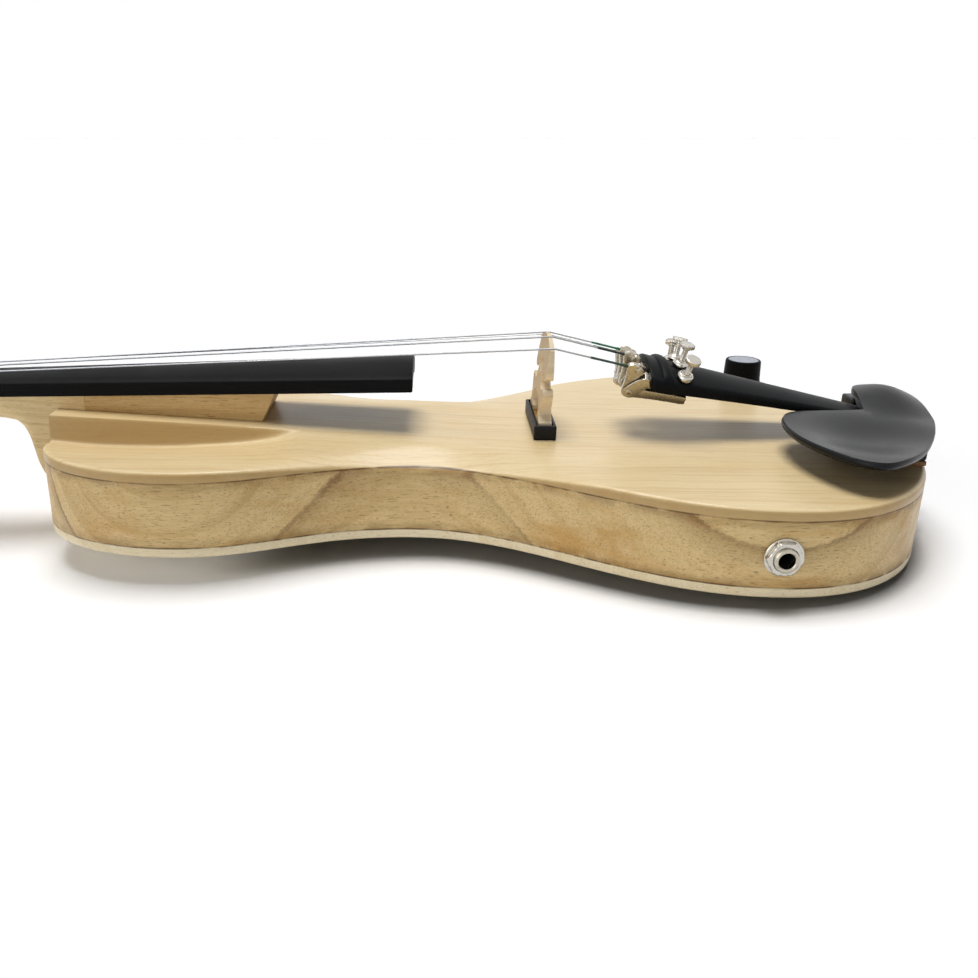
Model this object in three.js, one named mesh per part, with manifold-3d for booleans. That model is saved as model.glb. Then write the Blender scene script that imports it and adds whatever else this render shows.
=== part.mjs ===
// Electric violin: a flat-backed board body with a carved top, bolt-on pickup and full string train.
// Millimetres. +X runs from the bridge to the tail, -Y is the bass side, +Z is up from the back.
// The origin lies on the back's flat face, straight under the bridge.

import * as THREE from "three";
import { mergeVertices } from "three/addons/utils/BufferGeometryUtils.js";
import Module from "manifold-3d";

const wasm = await Module();
wasm.setup();

// Body plan
const neckReach = 212;
const tailReach = 168;
const endHalf = 30;
const upperHalf = 72;
const upperAt = 152;
const waistHalf = 49.5;
const waistAt = 58;
const lowerHalf = 104.5;
const lowerAt = 86;

// Body depth
const bodyDepth = 36;
const topThickness = 4.5;
const backThickness = 4.3;
const rampRise = 9;
const scoopDepth = 11.3;
const bevelDepth = 5.6;
const ridgeHalf = 26;
const wallDraft = 2;

// Neck and head
const boardSlope = 0.037;
const boardLift = 20.3;
const boardLength = 269.5;
const boardGap = 58.5;
const boardNutHalf = 12;
const boardEndHalf = 21.2;
const boardSide = 5.7;
const crownRadius = 42;
const heelReach = 13;
const neckDepth = 12.2;
const heelBottom = 9.5;
const headLength = 104;
const pegboxDepth = 27;
const pegboxNutHalf = 13.3;
const pegboxTipHalf = 10.6;
const cheek = 4.8;
const voluteRadius = 19;
const earHalf = 20.5;

// String train
const stringSpread = 33.5;
const nutSpread = 16.5;
const bridgeCrest = 78.9;
const bridgeHalf = 20.75;
const bridgeEdge = 1.5;
const trayLength = 46;
const trayWidth = 10;
const trayHeight = 6.5;
const trayWall = 1.2;
const trayGroove = 1.9;
const stripThickness = 0.6;
const tailpieceLength = 106;
const tailpieceInset = 16;
const tailpieceWide = 21;
const tailpieceNarrow = 10.5;
const tailpieceCrest = 70.2;
const tailpieceFall = 23.3;
const tailpieceArch = 35;
const tailpieceEdge = 5;
const tailpieceWall = 2.6;

// Electronics
const knobAt = 118.5;
const knobInset = 24.5;
const knobSkirt = 12;
const knobTop = 9.5;
const knobHeight = 14.6;
const jackAt = 82;
const jackHeight = 17.5;
const jackBore = 3.2;
const jackThread = 4.75;

// Clearances
const gap = 0.3;
const glueLine = 0.05;
const overrun = 4;

const roundSides = 24;
const smallSides = 16;
const tubeSides = 8;

// Finishes
function finish(color, roughness, metalness) {
  return new THREE.MeshStandardMaterial({ color, roughness, metalness });
}
const FINISH = {
  pale: () => finish(0xe3c68d, 0.42, 0),
  rib: () => finish(0xd3b27b, 0.45, 0),
  maple: () => finish(0xe0c394, 0.5, 0),
  bridge: () => finish(0xe6cda8, 0.6, 0),
  ebony: () => finish(0x1d1d1e, 0.45, 0),
  plastic: () => finish(0x161618, 0.5, 0),
  nickel: () => finish(0xcfcdc8, 0.22, 1),
  steel: () => finish(0xbfc2c6, 0.3, 1),
  cork: () => finish(0xa87c50, 0.9, 0),
  gut: () => finish(0x202022, 0.6, 0),
  lead: () => finish(0x2a2a2c, 0.6, 0),
  piezo: () => finish(0x8a6a3a, 0.5, 0.3),
};

const group = new THREE.Group();

function place(name, geometry, material) {
  const mesh = new THREE.Mesh(geometry, material);
  mesh.name = name;
  group.add(mesh);
  return mesh;
}

const weld = 1e-4;

// Solids: closed geometry in and out of the boolean library
function toSolid(geometry) {
  let plain = geometry.clone();
  plain.deleteAttribute("normal");
  plain.deleteAttribute("uv");
  plain = mergeVertices(plain, weld);
  const index = plain.index.array;
  const kept = [];
  for (let i = 0; i < index.length; i += 3) {
    const [a, b, c] = [index[i], index[i + 1], index[i + 2]];
    if (a !== b && b !== c && a !== c) kept.push(a, b, c);
  }
  return new wasm.Manifold(new wasm.Mesh({
    numProp: 3,
    vertProperties: new Float32Array(plain.attributes.position.array),
    triVerts: new Uint32Array(kept),
  }));
}

function toGeometry(solid) {
  const mesh = solid.getMesh();
  const geometry = new THREE.BufferGeometry();
  geometry.setAttribute("position", new THREE.BufferAttribute(new Float32Array(mesh.vertProperties), 3));
  geometry.setIndex(new THREE.BufferAttribute(new Uint32Array(mesh.triVerts), 1));
  geometry.computeVertexNormals();
  return geometry;
}

function cut(base, ...cutters) {
  let solid = toSolid(base);
  for (const cutter of cutters) solid = solid.subtract(toSolid(cutter));
  return toGeometry(solid);
}

function join(base, ...others) {
  let solid = toSolid(base);
  for (const other of others) solid = solid.add(toSolid(other));
  return toGeometry(solid);
}

// Forms
function lerp(a, b, t) {
  return a + (b - a) * t;
}

function outlineShape(points) {
  return new THREE.Shape(points.map(([x, y]) => new THREE.Vector2(x, y)));
}

function slab(points, low, high) {
  const geometry = new THREE.ExtrudeGeometry(outlineShape(points), {
    depth: high - low,
    bevelEnabled: false,
    curveSegments: smallSides,
  });
  return geometry.translate(0, 0, low);
}

function box(x0, x1, y0, y1, z0, z1) {
  const geometry = new THREE.BoxGeometry(x1 - x0, y1 - y0, z1 - z0);
  return geometry.translate((x0 + x1) / 2, (y0 + y1) / 2, (z0 + z1) / 2);
}

// A round solid along +Z from its profile of [radius, height] pairs
function turned(profile, sides = roundSides) {
  return outward(new THREE.LatheGeometry(profile.map(([r, z]) => new THREE.Vector2(r, z)), sides)
    .rotateX(Math.PI / 2));
}

function rod(radius, low, high, sides = roundSides) {
  return turned([[0, low], [radius, low], [radius, high], [0, high]], sides);
}

function ring(inner, outer, low, high, sides = roundSides) {
  return turned([[inner, low], [outer, low], [outer, high], [inner, high], [inner, low]], sides);
}

function hexagon(acrossFlats, low, high) {
  const corner = acrossFlats / Math.sqrt(3);
  const points = [];
  for (let i = 0; i < 6; i += 1) {
    const angle = (i * Math.PI) / 3;
    points.push([corner * Math.cos(angle), corner * Math.sin(angle)]);
  }
  return slab(points, low, high);
}

// A closed solid through sections: equal rings of [x, y, z], capped flat at both ends
function loft(sections) {
  const count = sections[0].length;
  const positions = [];
  const index = [];
  sections.forEach((section) => section.forEach((point) => positions.push(...point)));
  for (let s = 0; s < sections.length - 1; s += 1) {
    for (let i = 0; i < count; i += 1) {
      const a = s * count + i;
      const b = s * count + ((i + 1) % count);
      index.push(a, b, a + count, b, b + count, a + count);
    }
  }
  const flat = (section) => {
    const origin = new THREE.Vector3(...section[0]);
    const normal = new THREE.Vector3();
    section.forEach((point, i) => {
      const next = section[(i + 1) % count];
      normal.add(new THREE.Vector3(...point).sub(origin).cross(new THREE.Vector3(...next).sub(origin)));
    });
    normal.normalize();
    const side = Math.abs(normal.z) < Math.SQRT1_2 ? new THREE.Vector3(0, 0, 1) : new THREE.Vector3(1, 0, 0);
    const u = new THREE.Vector3().crossVectors(side, normal).normalize();
    const v = new THREE.Vector3().crossVectors(normal, u);
    return section.map((point) => {
      const offset = new THREE.Vector3(...point).sub(origin);
      return new THREE.Vector2(offset.dot(u), offset.dot(v));
    });
  };
  const first = THREE.ShapeUtils.triangulateShape(flat(sections[0]), []);
  const last = THREE.ShapeUtils.triangulateShape(flat(sections[sections.length - 1]), []);
  const base = (sections.length - 1) * count;
  first.forEach(([a, b, c]) => index.push(a, c, b));
  last.forEach(([a, b, c]) => index.push(base + a, base + b, base + c));
  const geometry = new THREE.BufferGeometry();
  geometry.setAttribute("position", new THREE.Float32BufferAttribute(positions, 3));
  geometry.setIndex(index);
  return outward(geometry);
}

// Turns every face round when the closed mesh is inside out
function outward(geometry) {
  const position = geometry.attributes.position;
  const index = geometry.index.array;
  const [a, b, c] = [new THREE.Vector3(), new THREE.Vector3(), new THREE.Vector3()];
  let volume = 0;
  for (let i = 0; i < index.length; i += 3) {
    a.fromBufferAttribute(position, index[i]);
    b.fromBufferAttribute(position, index[i + 1]);
    c.fromBufferAttribute(position, index[i + 2]);
    volume += a.dot(b.cross(c));
  }
  if (volume < 0) {
    for (let i = 0; i < index.length; i += 3) {
      [index[i + 1], index[i + 2]] = [index[i + 2], index[i + 1]];
    }
  }
  return geometry;
}

// Body outline: half widths from the neck end to the tail, as four smooth pulls
const pullShares = { end: 0.56, upperIn: 0.56, upperOut: 0.36, waistIn: 0.47, waistOut: 0.36, lowerIn: 0.43,
  lowerOut: 0.6, tail: 0.6 };
const outlineSteps = [8, 8, 12, 14];

function bodyHalf() {
  const span = neckReach - upperAt;
  const throat = upperAt - waistAt;
  const belly = waistAt + lowerAt;
  const tail = tailReach - lowerAt;
  const pulls = [
    [[-neckReach, endHalf], [-neckReach, lerp(endHalf, upperHalf, pullShares.end)],
      [-upperAt - pullShares.upperIn * span, upperHalf], [-upperAt, upperHalf]],
    [[-upperAt, upperHalf], [-upperAt + pullShares.upperOut * throat, upperHalf],
      [-waistAt - pullShares.waistIn * throat, waistHalf], [-waistAt, waistHalf]],
    [[-waistAt, waistHalf], [-waistAt + pullShares.waistOut * belly, waistHalf],
      [lowerAt - pullShares.lowerIn * belly, lowerHalf], [lowerAt, lowerHalf]],
    [[lowerAt, lowerHalf], [lowerAt + pullShares.lowerOut * tail, lowerHalf],
      [tailReach, pullShares.tail * lowerHalf], [tailReach, 0]],
  ];
  const points = [];
  pulls.forEach((pull, i) => {
    const curve = new THREE.CubicBezierCurve(...pull.map(([x, y]) => new THREE.Vector2(x, y)));
    curve.getPoints(outlineSteps[i]).forEach((p, k) => {
      if (i === 0 || k > 0) points.push([p.x, p.y]);
    });
  });
  return points;
}

const halfOutline = bodyHalf();
const bodyOutline = [
  ...halfOutline.map(([x, y]) => [x, -y]),
  ...halfOutline.slice(0, -1).reverse(),
];

// Half width of the body at a place along it
function halfWidth(x) {
  for (let i = 1; i < halfOutline.length; i += 1) {
    const [x0, y0] = halfOutline[i - 1];
    const [x1, y1] = halfOutline[i];
    if (x <= x1 && x1 > x0) return lerp(y0, y1, (x - x0) / (x1 - x0));
  }
  return 0;
}

// Height of the middle of the top: level from the bridge to the tail, rising to the neck
const rampStartShare = 0.05;
const rampStart = neckReach * rampStartShare;
function ramp(x) {
  const climb = THREE.MathUtils.clamp((-x - rampStart) / (neckReach - rampStart), 0, 1);
  return bodyDepth + rampRise * climb;
}

// Carving of the top at stations along the neck reach:
// depth of the hand scoop at the ridge's foot, drop of the rim, and the crease between them
const carvingShares = [
  { at: 1.0, scoop: 0.93, rim: 0, crease: 0.5, height: -0.1 },
  { at: 0.9, scoop: 1.0, rim: 0, crease: 0.5, height: -0.14 },
  { at: 0.8, scoop: 0.94, rim: 0, crease: 0.5, height: -0.14 },
  { at: 0.71, scoop: 0.8, rim: 0, crease: 0.55, height: -0.1 },
  { at: 0.63, scoop: 0.62, rim: 0.02, crease: 0.6, height: 0 },
  { at: 0.58, scoop: 0.47, rim: 0.12, crease: 0.7, height: 0.12 },
  { at: 0.54, scoop: 0.28, rim: 0.24, crease: 0.76, height: 0.24 },
  { at: 0.5, scoop: 0.02, rim: 0.36, crease: 0.78, height: 0.34 },
  { at: 0.44, scoop: 0.02, rim: 0.54, crease: 0.72, height: 0.45 },
  { at: 0.38, scoop: 0.02, rim: 0.72, crease: 0.58, height: 0.62 },
  { at: 0.32, scoop: 0.01, rim: 0.92, crease: 0.44, height: 0.86 },
  { at: 0.25, scoop: 0.005, rim: 1.0, crease: 0.32, height: 0.985 },
  { at: 0.18, scoop: 0.003, rim: 0.88, crease: 0.32, height: 0.99 },
  { at: 0.12, scoop: 0.002, rim: 0.66, crease: 0.36, height: 0.99 },
  { at: rampStartShare, scoop: 0.001, rim: 0.44, crease: 0.43, height: 0.99 },
  { at: -0.02, scoop: 0, rim: 0.22, crease: 0.56, height: 0.99 },
  { at: -0.085, scoop: 0, rim: 0, crease: 0.7, height: 1 },
];

// The air above the carved top, one section per station
function airAboveTop() {
  const ceiling = bodyDepth + boardLift + overrun;
  const reach = lowerHalf + overrun;
  const section = (share, x) => {
    const middle = ramp(x);
    const rimAt = Math.max(halfWidth(x), ridgeHalf + 2 * wallDraft + overrun);
    const rim = bodyDepth - bevelDepth * share.rim;
    const foot = ridgeHalf + wallDraft;
    const creaseAt = lerp(foot, rimAt, share.crease);
    const crease = lerp(rim, middle, share.height);
    const fall = ((crease - rim) / (rimAt - creaseAt)) * (reach - rimAt);
    const half = [
      [reach, rim - Math.max(0, fall)],
      [rimAt, rim],
      [creaseAt, crease],
      [foot, middle - scoopDepth * share.scoop],
      [ridgeHalf, middle],
    ];
    const low = [...half.map(([y, z]) => [x, -y, z]), ...half.reverse().map(([y, z]) => [x, y, z])];
    return [...low, [x, reach, ceiling], [x, -reach, ceiling]];
  };
  const level = carvingShares[carvingShares.length - 1];
  const sections = carvingShares.map((share) => section(share, -neckReach * share.at));
  sections.unshift(section(carvingShares[0], -neckReach - overrun));
  sections.push(section(level, tailReach + overrun));
  return loft(sections);
}
const sky = airAboveTop();

// Saddle, let into the tail edge of the top
const saddleHalf = 17.5;
const saddleDeep = 6.5;
const saddleProud = 4.6;
const saddleInset = 1;
const saddleBase = bodyDepth - topThickness;
const saddleEnd = tailReach - saddleInset;
const saddleTop = bodyDepth + saddleProud;
const knobOut = lowerHalf - knobInset;

// Soundboard
const potBushing = 3.75;
const leadRadius = 1.1;
const leadHole = 1.8;
const leadOut = 12;
function soundboard() {
  const blank = slab(bodyOutline, bodyDepth - topThickness, bodyDepth + rampRise + overrun);
  const low = bodyDepth - topThickness - overrun;
  const high = bodyDepth + overrun;
  return cut(
    blank,
    sky,
    rod(potBushing + gap, low, high, smallSides).translate(knobAt, knobOut, 0),
    rod(leadHole, low, high, smallSides).translate(0, leadOut, 0),
    box(saddleEnd - saddleDeep - gap, tailReach + overrun, -saddleHalf - gap, saddleHalf + gap, low, high),
  );
}
place("soundboard", soundboard(), FINISH.pale());

// Body core with its pockets, open upward under the soundboard, and the jack's hole in the rib
const potCase = 8.2;
const potDepth = 8;
const pocketWall = 2.5;
const jackWall = 6.5;
const jackBarrel = 5.6;
const jackBarrelLength = 26;
const jackRoom = 14;
const channelHalf = 3;
const channelDepth = 9;
const buttonShank = 3.7;
const buttonAt = 17;
const buttonDepth = 16;
const coreTop = bodyDepth - topThickness;
const jackFace = halfWidth(jackAt);

function bodyCore() {
  const blank = slab(bodyOutline, backThickness, bodyDepth - topThickness);
  const high = coreTop + overrun;
  const floor = coreTop - channelDepth;
  const jackPocketHalf = jackBarrel + pocketWall;
  const jackInner = -jackFace + jackWall;
  return cut(
    blank,
    sky,
    rod(potCase + pocketWall, coreTop - potDepth - 2 * pocketWall, high).translate(knobAt, knobOut, 0),
    box(-channelHalf, channelHalf, leadOut - channelHalf, leadOut + channelHalf, floor, high),
    box(-channelHalf, knobAt, leadOut - channelHalf, leadOut + channelHalf, floor, high),
    box(knobAt - channelHalf, knobAt + channelHalf, leadOut - channelHalf, knobOut, floor, high),
    box(jackAt - channelHalf, jackAt + channelHalf, jackInner, leadOut + channelHalf, floor, high),
    box(jackAt - jackPocketHalf, jackAt + jackPocketHalf, jackInner, jackInner + jackBarrelLength + jackRoom,
      jackHeight - jackPocketHalf, high),
    rod(jackThread + gap, -overrun, jackWall + overrun).rotateX(-Math.PI / 2)
      .translate(jackAt, -jackFace, jackHeight),
    rod(buttonShank + gap, -buttonDepth, overrun, smallSides).rotateY(Math.PI / 2)
      .translate(tailReach, 0, buttonAt),
  );
}
place("body_core", bodyCore(), FINISH.rib());

place("back_board", slab(bodyOutline, 0, backThickness), FINISH.pale());

place("saddle", slab([
  [saddleEnd - saddleDeep, saddleBase], [saddleEnd, saddleBase],
  [saddleEnd, saddleTop - saddleDeep / 3], [saddleEnd - saddleDeep / 3, saddleTop],
  [saddleEnd - saddleDeep / 2, saddleTop], [saddleEnd - saddleDeep, saddleTop - saddleDeep / 3],
], -saddleHalf, saddleHalf).rotateX(Math.PI / 2), FINISH.ebony());

// Fingerboard underside: one straight line from the nut to the free end
const boardEnd = -boardGap;
const boardNut = boardEnd - boardLength;
function boardUnder(x) {
  return bodyDepth + boardLift + boardSlope * (x - boardEnd);
}
function boardHalf(x) {
  return lerp(boardNutHalf, boardEndHalf, (x - boardNut) / boardLength);
}
const crownSteps = 8;
const hollowDepth = 3;
const riserEnd = -118;
const riserHalf = 15.5;
const riserTipHalf = 17.5;
const riserRake = 6;

function boardSection(x) {
  const half = boardHalf(x);
  const under = boardUnder(x);
  const points = [[x, -half, under], [x, half, under]];
  for (let i = 0; i <= crownSteps; i += 1) {
    const y = lerp(half, -half, i / crownSteps);
    const rise = (half * half - y * y) / (2 * crownRadius);
    points.push([x, y, under + boardSide + rise]);
  }
  return points;
}

function fingerboard() {
  const solid = loft([boardNut, boardEnd].map(boardSection));
  const hollow = riserEnd + riserRake;
  const scoop = (x, share) => {
    const half = boardHalf(x) - boardSide;
    const under = boardUnder(x);
    const deep = hollowDepth * share;
    return [
      [x, -half, under - overrun], [x, half, under - overrun], [x, half, under],
      [x, half / 2, under + deep], [x, -half / 2, under + deep], [x, -half, under],
    ];
  };
  const hollowShare = 0.4;
  return cut(solid, loft([scoop(hollow, hollowShare), scoop(lerp(hollow, boardEnd, hollowShare), 1),
    scoop(boardEnd + overrun, 1)]));
}
place("fingerboard", fingerboard(), FINISH.ebony());

// Riser between the body's ramp and the fingerboard, with a raked free end
function riser() {
  const section = (x, top, half) => {
    const low = ramp(x) + glueLine;
    const high = boardUnder(top) - glueLine;
    return [[x, -half, low], [x, half, low], [top, half, high], [top, -half, high]];
  };
  return loft([section(-neckReach, -neckReach, riserHalf),
    section(riserEnd - riserRake, riserEnd, riserTipHalf)]);
}
place("fingerboard_riser", riser(), FINISH.pale());

// Neck: handle and heel lofted, pegbox cut from its side profile, scroll built turn by turn
const neckArc = 12;
const neckNutHalf = 12;
const neckHeelHalf = 15.5;
const handleSquareShare = 2.2;
const heelSquareShare = 4.5;
const heelTop = boardUnder(-neckReach);
const heelDepth = heelTop - heelBottom;

// Stations of the neck: place from the body end to the nut, depth and squareness of the section
const neckShares = [
  { out: 0, heel: 1, square: 1 },
  { out: 0.66, heel: 1, square: 1 },
  { out: 0.8, heel: 0.95, square: 1 },
  { out: 0.93, heel: 0.82, square: 0.95 },
  { out: 1.02, heel: 0.6, square: 0.85 },
  { out: 1.12, heel: 0.36, square: 0.7 },
  { out: 1.3, heel: 0.16, square: 0.5 },
  { out: 1.65, heel: 0.04, square: 0.2 },
  { out: 2.4, heel: 0, square: 0 },
];

function neckSection(x, half, depth, power) {
  const top = boardUnder(x) - glueLine;
  const points = [[x, -half, top]];
  for (let i = 1; i < neckArc; i += 1) {
    const angle = (Math.PI * i) / neckArc;
    const side = -Math.cos(angle);
    const drop = Math.sin(angle);
    points.push([x, half * Math.sign(side) * Math.abs(side) ** (2 / power),
      top - depth * drop ** (2 / power)]);
  }
  points.push([x, half, top]);
  return points;
}

function neckHandle() {
  const sections = neckShares.map(({ out, heel, square }) => {
    const x = -neckReach - heelReach * out;
    const along = (x + neckReach) / (boardNut + neckReach);
    const half = lerp(neckHeelHalf, neckNutHalf, along);
    const shaped = lerp(handleSquareShare, heelSquareShare, square);
    return neckSection(x, half, lerp(neckDepth, heelDepth, heel), shaped);
  });
  sections.push(neckSection(boardNut - cheek / 4, neckNutHalf, neckDepth, handleSquareShare));
  return loft(sections);
}

// Head frame: s runs from the nut towards the scroll, t stands up from the fingerboard's underside
function headPoint(s, t) {
  const x = boardNut - s;
  return [x, boardUnder(x) - glueLine + t];
}

// Side profile of the pegbox, as shares of the head's length and the pegbox's depth
const pegboxTopShares = [[0, 0], [0.055, 0], [0.6, -0.2], [0.68, -0.24], [0.76, -0.3]];
const pegboxBackShares = [[0.83, -1.11], [0.75, -1.08], [0.67, -1.0], [0.58, -0.96], [0.46, -1.0],
  [0.3, -1.03], [0.18, -0.97], [0.09, -0.82], [0.03, -0.62], [0, -0.45]];
const floorShares = [[0.055, -0.5], [0.12, -0.74], [0.3, -0.8], [0.5, -0.82], [0.6, -0.76], [0.66, -0.55]];
const voluteAtShare = 0.83;
const voluteDropShare = -0.42;
const voluteTurns = 2.25;
const voluteSides = 20;
const voluteEyeShare = 0.25;
const voluteChamferShare = 0.1;
const headBackHalfShare = 0.62;

// Half width of the scroll at each quarter turn, as shares of the eye's
const voluteHalfShares = [0.4, 0.33, 0.3, 0.36, 0.46, 0.58, 0.71, 0.83, 0.94, 1];

function headHalf(s) {
  return lerp(pegboxNutHalf, pegboxTipHalf, Math.min(1, s / (headLength * 0.66)));
}

// A closed plate in the head's side view, its half width following its length
function headPlate(points, half) {
  const rows = points.map(([s, t]) => {
    const [x, z] = headPoint(s, t);
    return { x, z, half: half(s, t) };
  });
  return loft([rows.map((p) => [p.x, -p.half, p.z]), rows.map((p) => [p.x, p.half, p.z])]);
}

function pegbox() {
  const scaled = (table) => table.map(([s, t]) => [s * headLength, t * pegboxDepth]);
  const [top, back, floor] = [pegboxTopShares, pegboxBackShares, floorShares].map(scaled);
  const outer = headPlate([...top, ...back],
    (s, t) => headHalf(s) * lerp(1, headBackHalfShare, Math.max(0, s / headLength - 0.5) * 2));
  const open = [[floor[0][0], overrun], [floor[floor.length - 1][0], overrun]];
  const trough = headPlate([open[0], ...floor, open[1]], (s) => headHalf(s) - cheek);
  return cut(outer, trough);
}

// Scroll: each turn is a disc whose rim follows the spiral and whose half width grows inward
function voluteRadiusAt(turn) {
  return voluteRadius * lerp(1, voluteEyeShare, Math.min(1, turn / voluteTurns));
}
function voluteHalfAt(turn) {
  const last = voluteHalfShares.length - 1;
  const place = Math.min(last, (turn / voluteTurns) * last);
  const step = Math.min(last - 1, Math.floor(place));
  return earHalf * lerp(voluteHalfShares[step], voluteHalfShares[step + 1], place - step);
}

function voluteTurn(start) {
  const rim = [];
  for (let i = 0; i <= voluteSides; i += 1) {
    const turn = start + i / voluteSides;
    const angle = -Math.PI / 2 + 2 * Math.PI * turn;
    rim.push({ turn, angle, radius: voluteRadiusAt(turn), half: voluteHalfAt(turn) });
  }
  const middle = { s: voluteAtShare * headLength, t: voluteDropShare * pegboxDepth };
  const at = (angle, radius, y) => {
    const [x, z] = headPoint(middle.s + radius * Math.cos(angle), middle.t + radius * Math.sin(angle));
    return [x, y, z];
  };
  const chamfer = voluteRadius * voluteChamferShare;
  const layer = (y, inset) => rim.map((p) => at(p.angle, p.radius - inset, y(p)));
  const layers = [
    layer((p) => -p.half, chamfer),
    layer((p) => -p.half + chamfer / 2, 0),
    layer((p) => p.half - chamfer / 2, 0),
    layer((p) => p.half, chamfer),
  ];
  const positions = [];
  const index = [];
  const count = rim.length;
  layers.flat().forEach((point) => positions.push(...point));
  const low = layers.length * count;
  positions.push(...at(0, 0, -rim[count - 1].half), ...at(0, 0, rim[count - 1].half));
  for (let l = 0; l < layers.length - 1; l += 1) {
    for (let i = 0; i < count; i += 1) {
      const a = l * count + i;
      const b = l * count + ((i + 1) % count);
      index.push(a, b, a + count, b, b + count, a + count);
    }
  }
  for (let i = 0; i < count; i += 1) {
    const next = (i + 1) % count;
    index.push(low, next, i);
    index.push(low + 1, (layers.length - 1) * count + i, (layers.length - 1) * count + next);
  }
  const geometry = new THREE.BufferGeometry();
  geometry.setAttribute("position", new THREE.Float32BufferAttribute(positions, 3));
  geometry.setIndex(index);
  return outward(geometry);
}

function scrollTurns() {
  const turns = [];
  for (let start = 0; start < voluteTurns; start += 1) {
    turns.push(voluteTurn(start));
  }
  return turns;
}

// Pegs: their head's side (-1 bass, 1 treble), place from the nut, string lane and string radius
const pegTaper = 0.5;
const pegRadius = 3.9;
const pegDropShare = 0.47;
const PEGS = [
  { name: "g", side: -1, alongShare: 0.17, lane: -1.5, string: 0.4 },
  { name: "d", side: -1, alongShare: 0.445, lane: -0.5, string: 0.38 },
  { name: "a", side: 1, alongShare: 0.57, lane: 0.5, string: 0.33 },
  { name: "e", side: 1, alongShare: 0.3, lane: 1.5, string: 0.22 },
];

function pegAxis(peg) {
  return headPoint(peg.alongShare * headLength, -pegDropShare * pegboxDepth);
}

function pegBore(peg) {
  const reach = pegboxNutHalf + overrun;
  const profile = [[0, -reach], [pegRadius - pegTaper + gap, -reach], [pegRadius + gap, reach], [0, reach]];
  const [x, z] = pegAxis(peg);
  return turned(profile, smallSides).rotateX(peg.side * -Math.PI / 2).translate(x, 0, z);
}

function neck() {
  const whole = join(neckHandle(), pegbox(), ...scrollTurns());
  return cut(whole, ...PEGS.map(pegBore));
}
place("neck", neck(), FINISH.maple());

const collarRadius = 5.6;
const collarWidth = 2.4;
const pegStem = 3.1;
const thumbLong = 12;
const thumbHalf = 10.5;
const thumbThick = 5;
const pegProud = 1.2;

function pegSolid(peg) {
  const outer = headHalf(peg.alongShare * headLength);
  const seat = outer + collarWidth;
  const profile = [
    [0, -outer - pegProud],
    [pegRadius - pegTaper, -outer - pegProud],
    [pegRadius, outer],
    [pegRadius, seat],
    [collarRadius, seat + collarWidth / 3],
    [collarRadius, seat + collarWidth],
    [pegStem, seat + collarWidth + collarWidth / 2],
    [pegStem, seat + collarWidth + thumbLong / 3],
    [0, seat + collarWidth + thumbLong / 3],
  ];
  const shape = new THREE.Shape();
  shape.moveTo(-pegStem, 0);
  shape.bezierCurveTo(-pegStem, thumbLong / 3, -thumbHalf, thumbLong / 4, -thumbHalf, thumbLong * 0.6);
  shape.bezierCurveTo(-thumbHalf, thumbLong, -thumbHalf / 2, thumbLong, 0, thumbLong);
  shape.bezierCurveTo(thumbHalf / 2, thumbLong, thumbHalf, thumbLong, thumbHalf, thumbLong * 0.6);
  shape.bezierCurveTo(thumbHalf, thumbLong / 4, pegStem, thumbLong / 3, pegStem, 0);
  const bevel = thumbThick / 4;
  const thumb = new THREE.ExtrudeGeometry(shape, {
    depth: thumbThick - 2 * bevel,
    bevelEnabled: true,
    bevelThickness: bevel,
    bevelSize: bevel,
    bevelOffset: -bevel,
    bevelSegments: 1,
    curveSegments: 4,
  }).translate(0, 0, -thumbThick / 2 + bevel).rotateX(Math.PI / 2)
    .translate(0, 0, seat + 2 * collarWidth);
  const [x, z] = pegAxis(peg);
  return join(turned(profile, smallSides), thumb).rotateX(peg.side * -Math.PI / 2).translate(x, 0, z);
}
PEGS.forEach((peg) => place(`peg_${peg.name}`, pegSolid(peg), FINISH.ebony()));

// A tube through the given points, with one section at each point
class Route extends THREE.Curve {
  constructor(points) {
    super();
    this.points = points.map((point) => new THREE.Vector3(...point));
  }

  getPoint(t, target = new THREE.Vector3()) {
    const place = t * (this.points.length - 1);
    const step = Math.min(Math.floor(place), this.points.length - 2);
    return target.lerpVectors(this.points[step], this.points[step + 1], place - step);
  }

  getPointAt(u, target) {
    return this.getPoint(u, target);
  }

  getTangentAt(u, target = new THREE.Vector3()) {
    const knot = Math.round(u * (this.points.length - 1));
    const at = (i) => this.points[THREE.MathUtils.clamp(i, 0, this.points.length - 1)];
    const before = new THREE.Vector3().subVectors(at(knot), at(knot - 1)).normalize();
    return target.subVectors(at(knot + 1), at(knot)).normalize().add(before).normalize();
  }
}

function tube(points, radius, sides = tubeSides) {
  const section = [];
  for (let i = 0; i < sides; i += 1) {
    const angle = (2 * Math.PI * i) / sides;
    section.push([radius * Math.cos(angle), radius * Math.sin(angle)]);
  }
  return new THREE.ExtrudeGeometry(outlineShape(section), {
    steps: points.length - 1,
    extrudePath: new Route(points),
    bevelEnabled: false,
  });
}

// Nut on the front wall of the pegbox
const nutWidth = 5.2;
const nutProud = 0.7;
const nutSteps = 6;
const neckEdge = boardNutHalf;
function nutTop(y) {
  return boardUnder(boardNut) + boardSide + nutProud + (neckEdge * neckEdge - y * y) / (2 * crownRadius);
}

function nut() {
  const section = (x, drop) => {
    const low = boardUnder(x);
    const points = [[x, -neckEdge, low], [x, neckEdge, low]];
    for (let i = 0; i <= nutSteps; i += 1) {
      const y = lerp(neckEdge, -neckEdge, i / nutSteps);
      points.push([x, y, nutTop(y) - drop]);
    }
    return points;
  };
  return loft([
    section(boardNut - glueLine, 0),
    section(boardNut - nutWidth / 2, 0),
    section(boardNut - nutWidth, nutWidth / 4),
  ]);
}
place("nut", nut(), FINISH.ebony());

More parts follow.
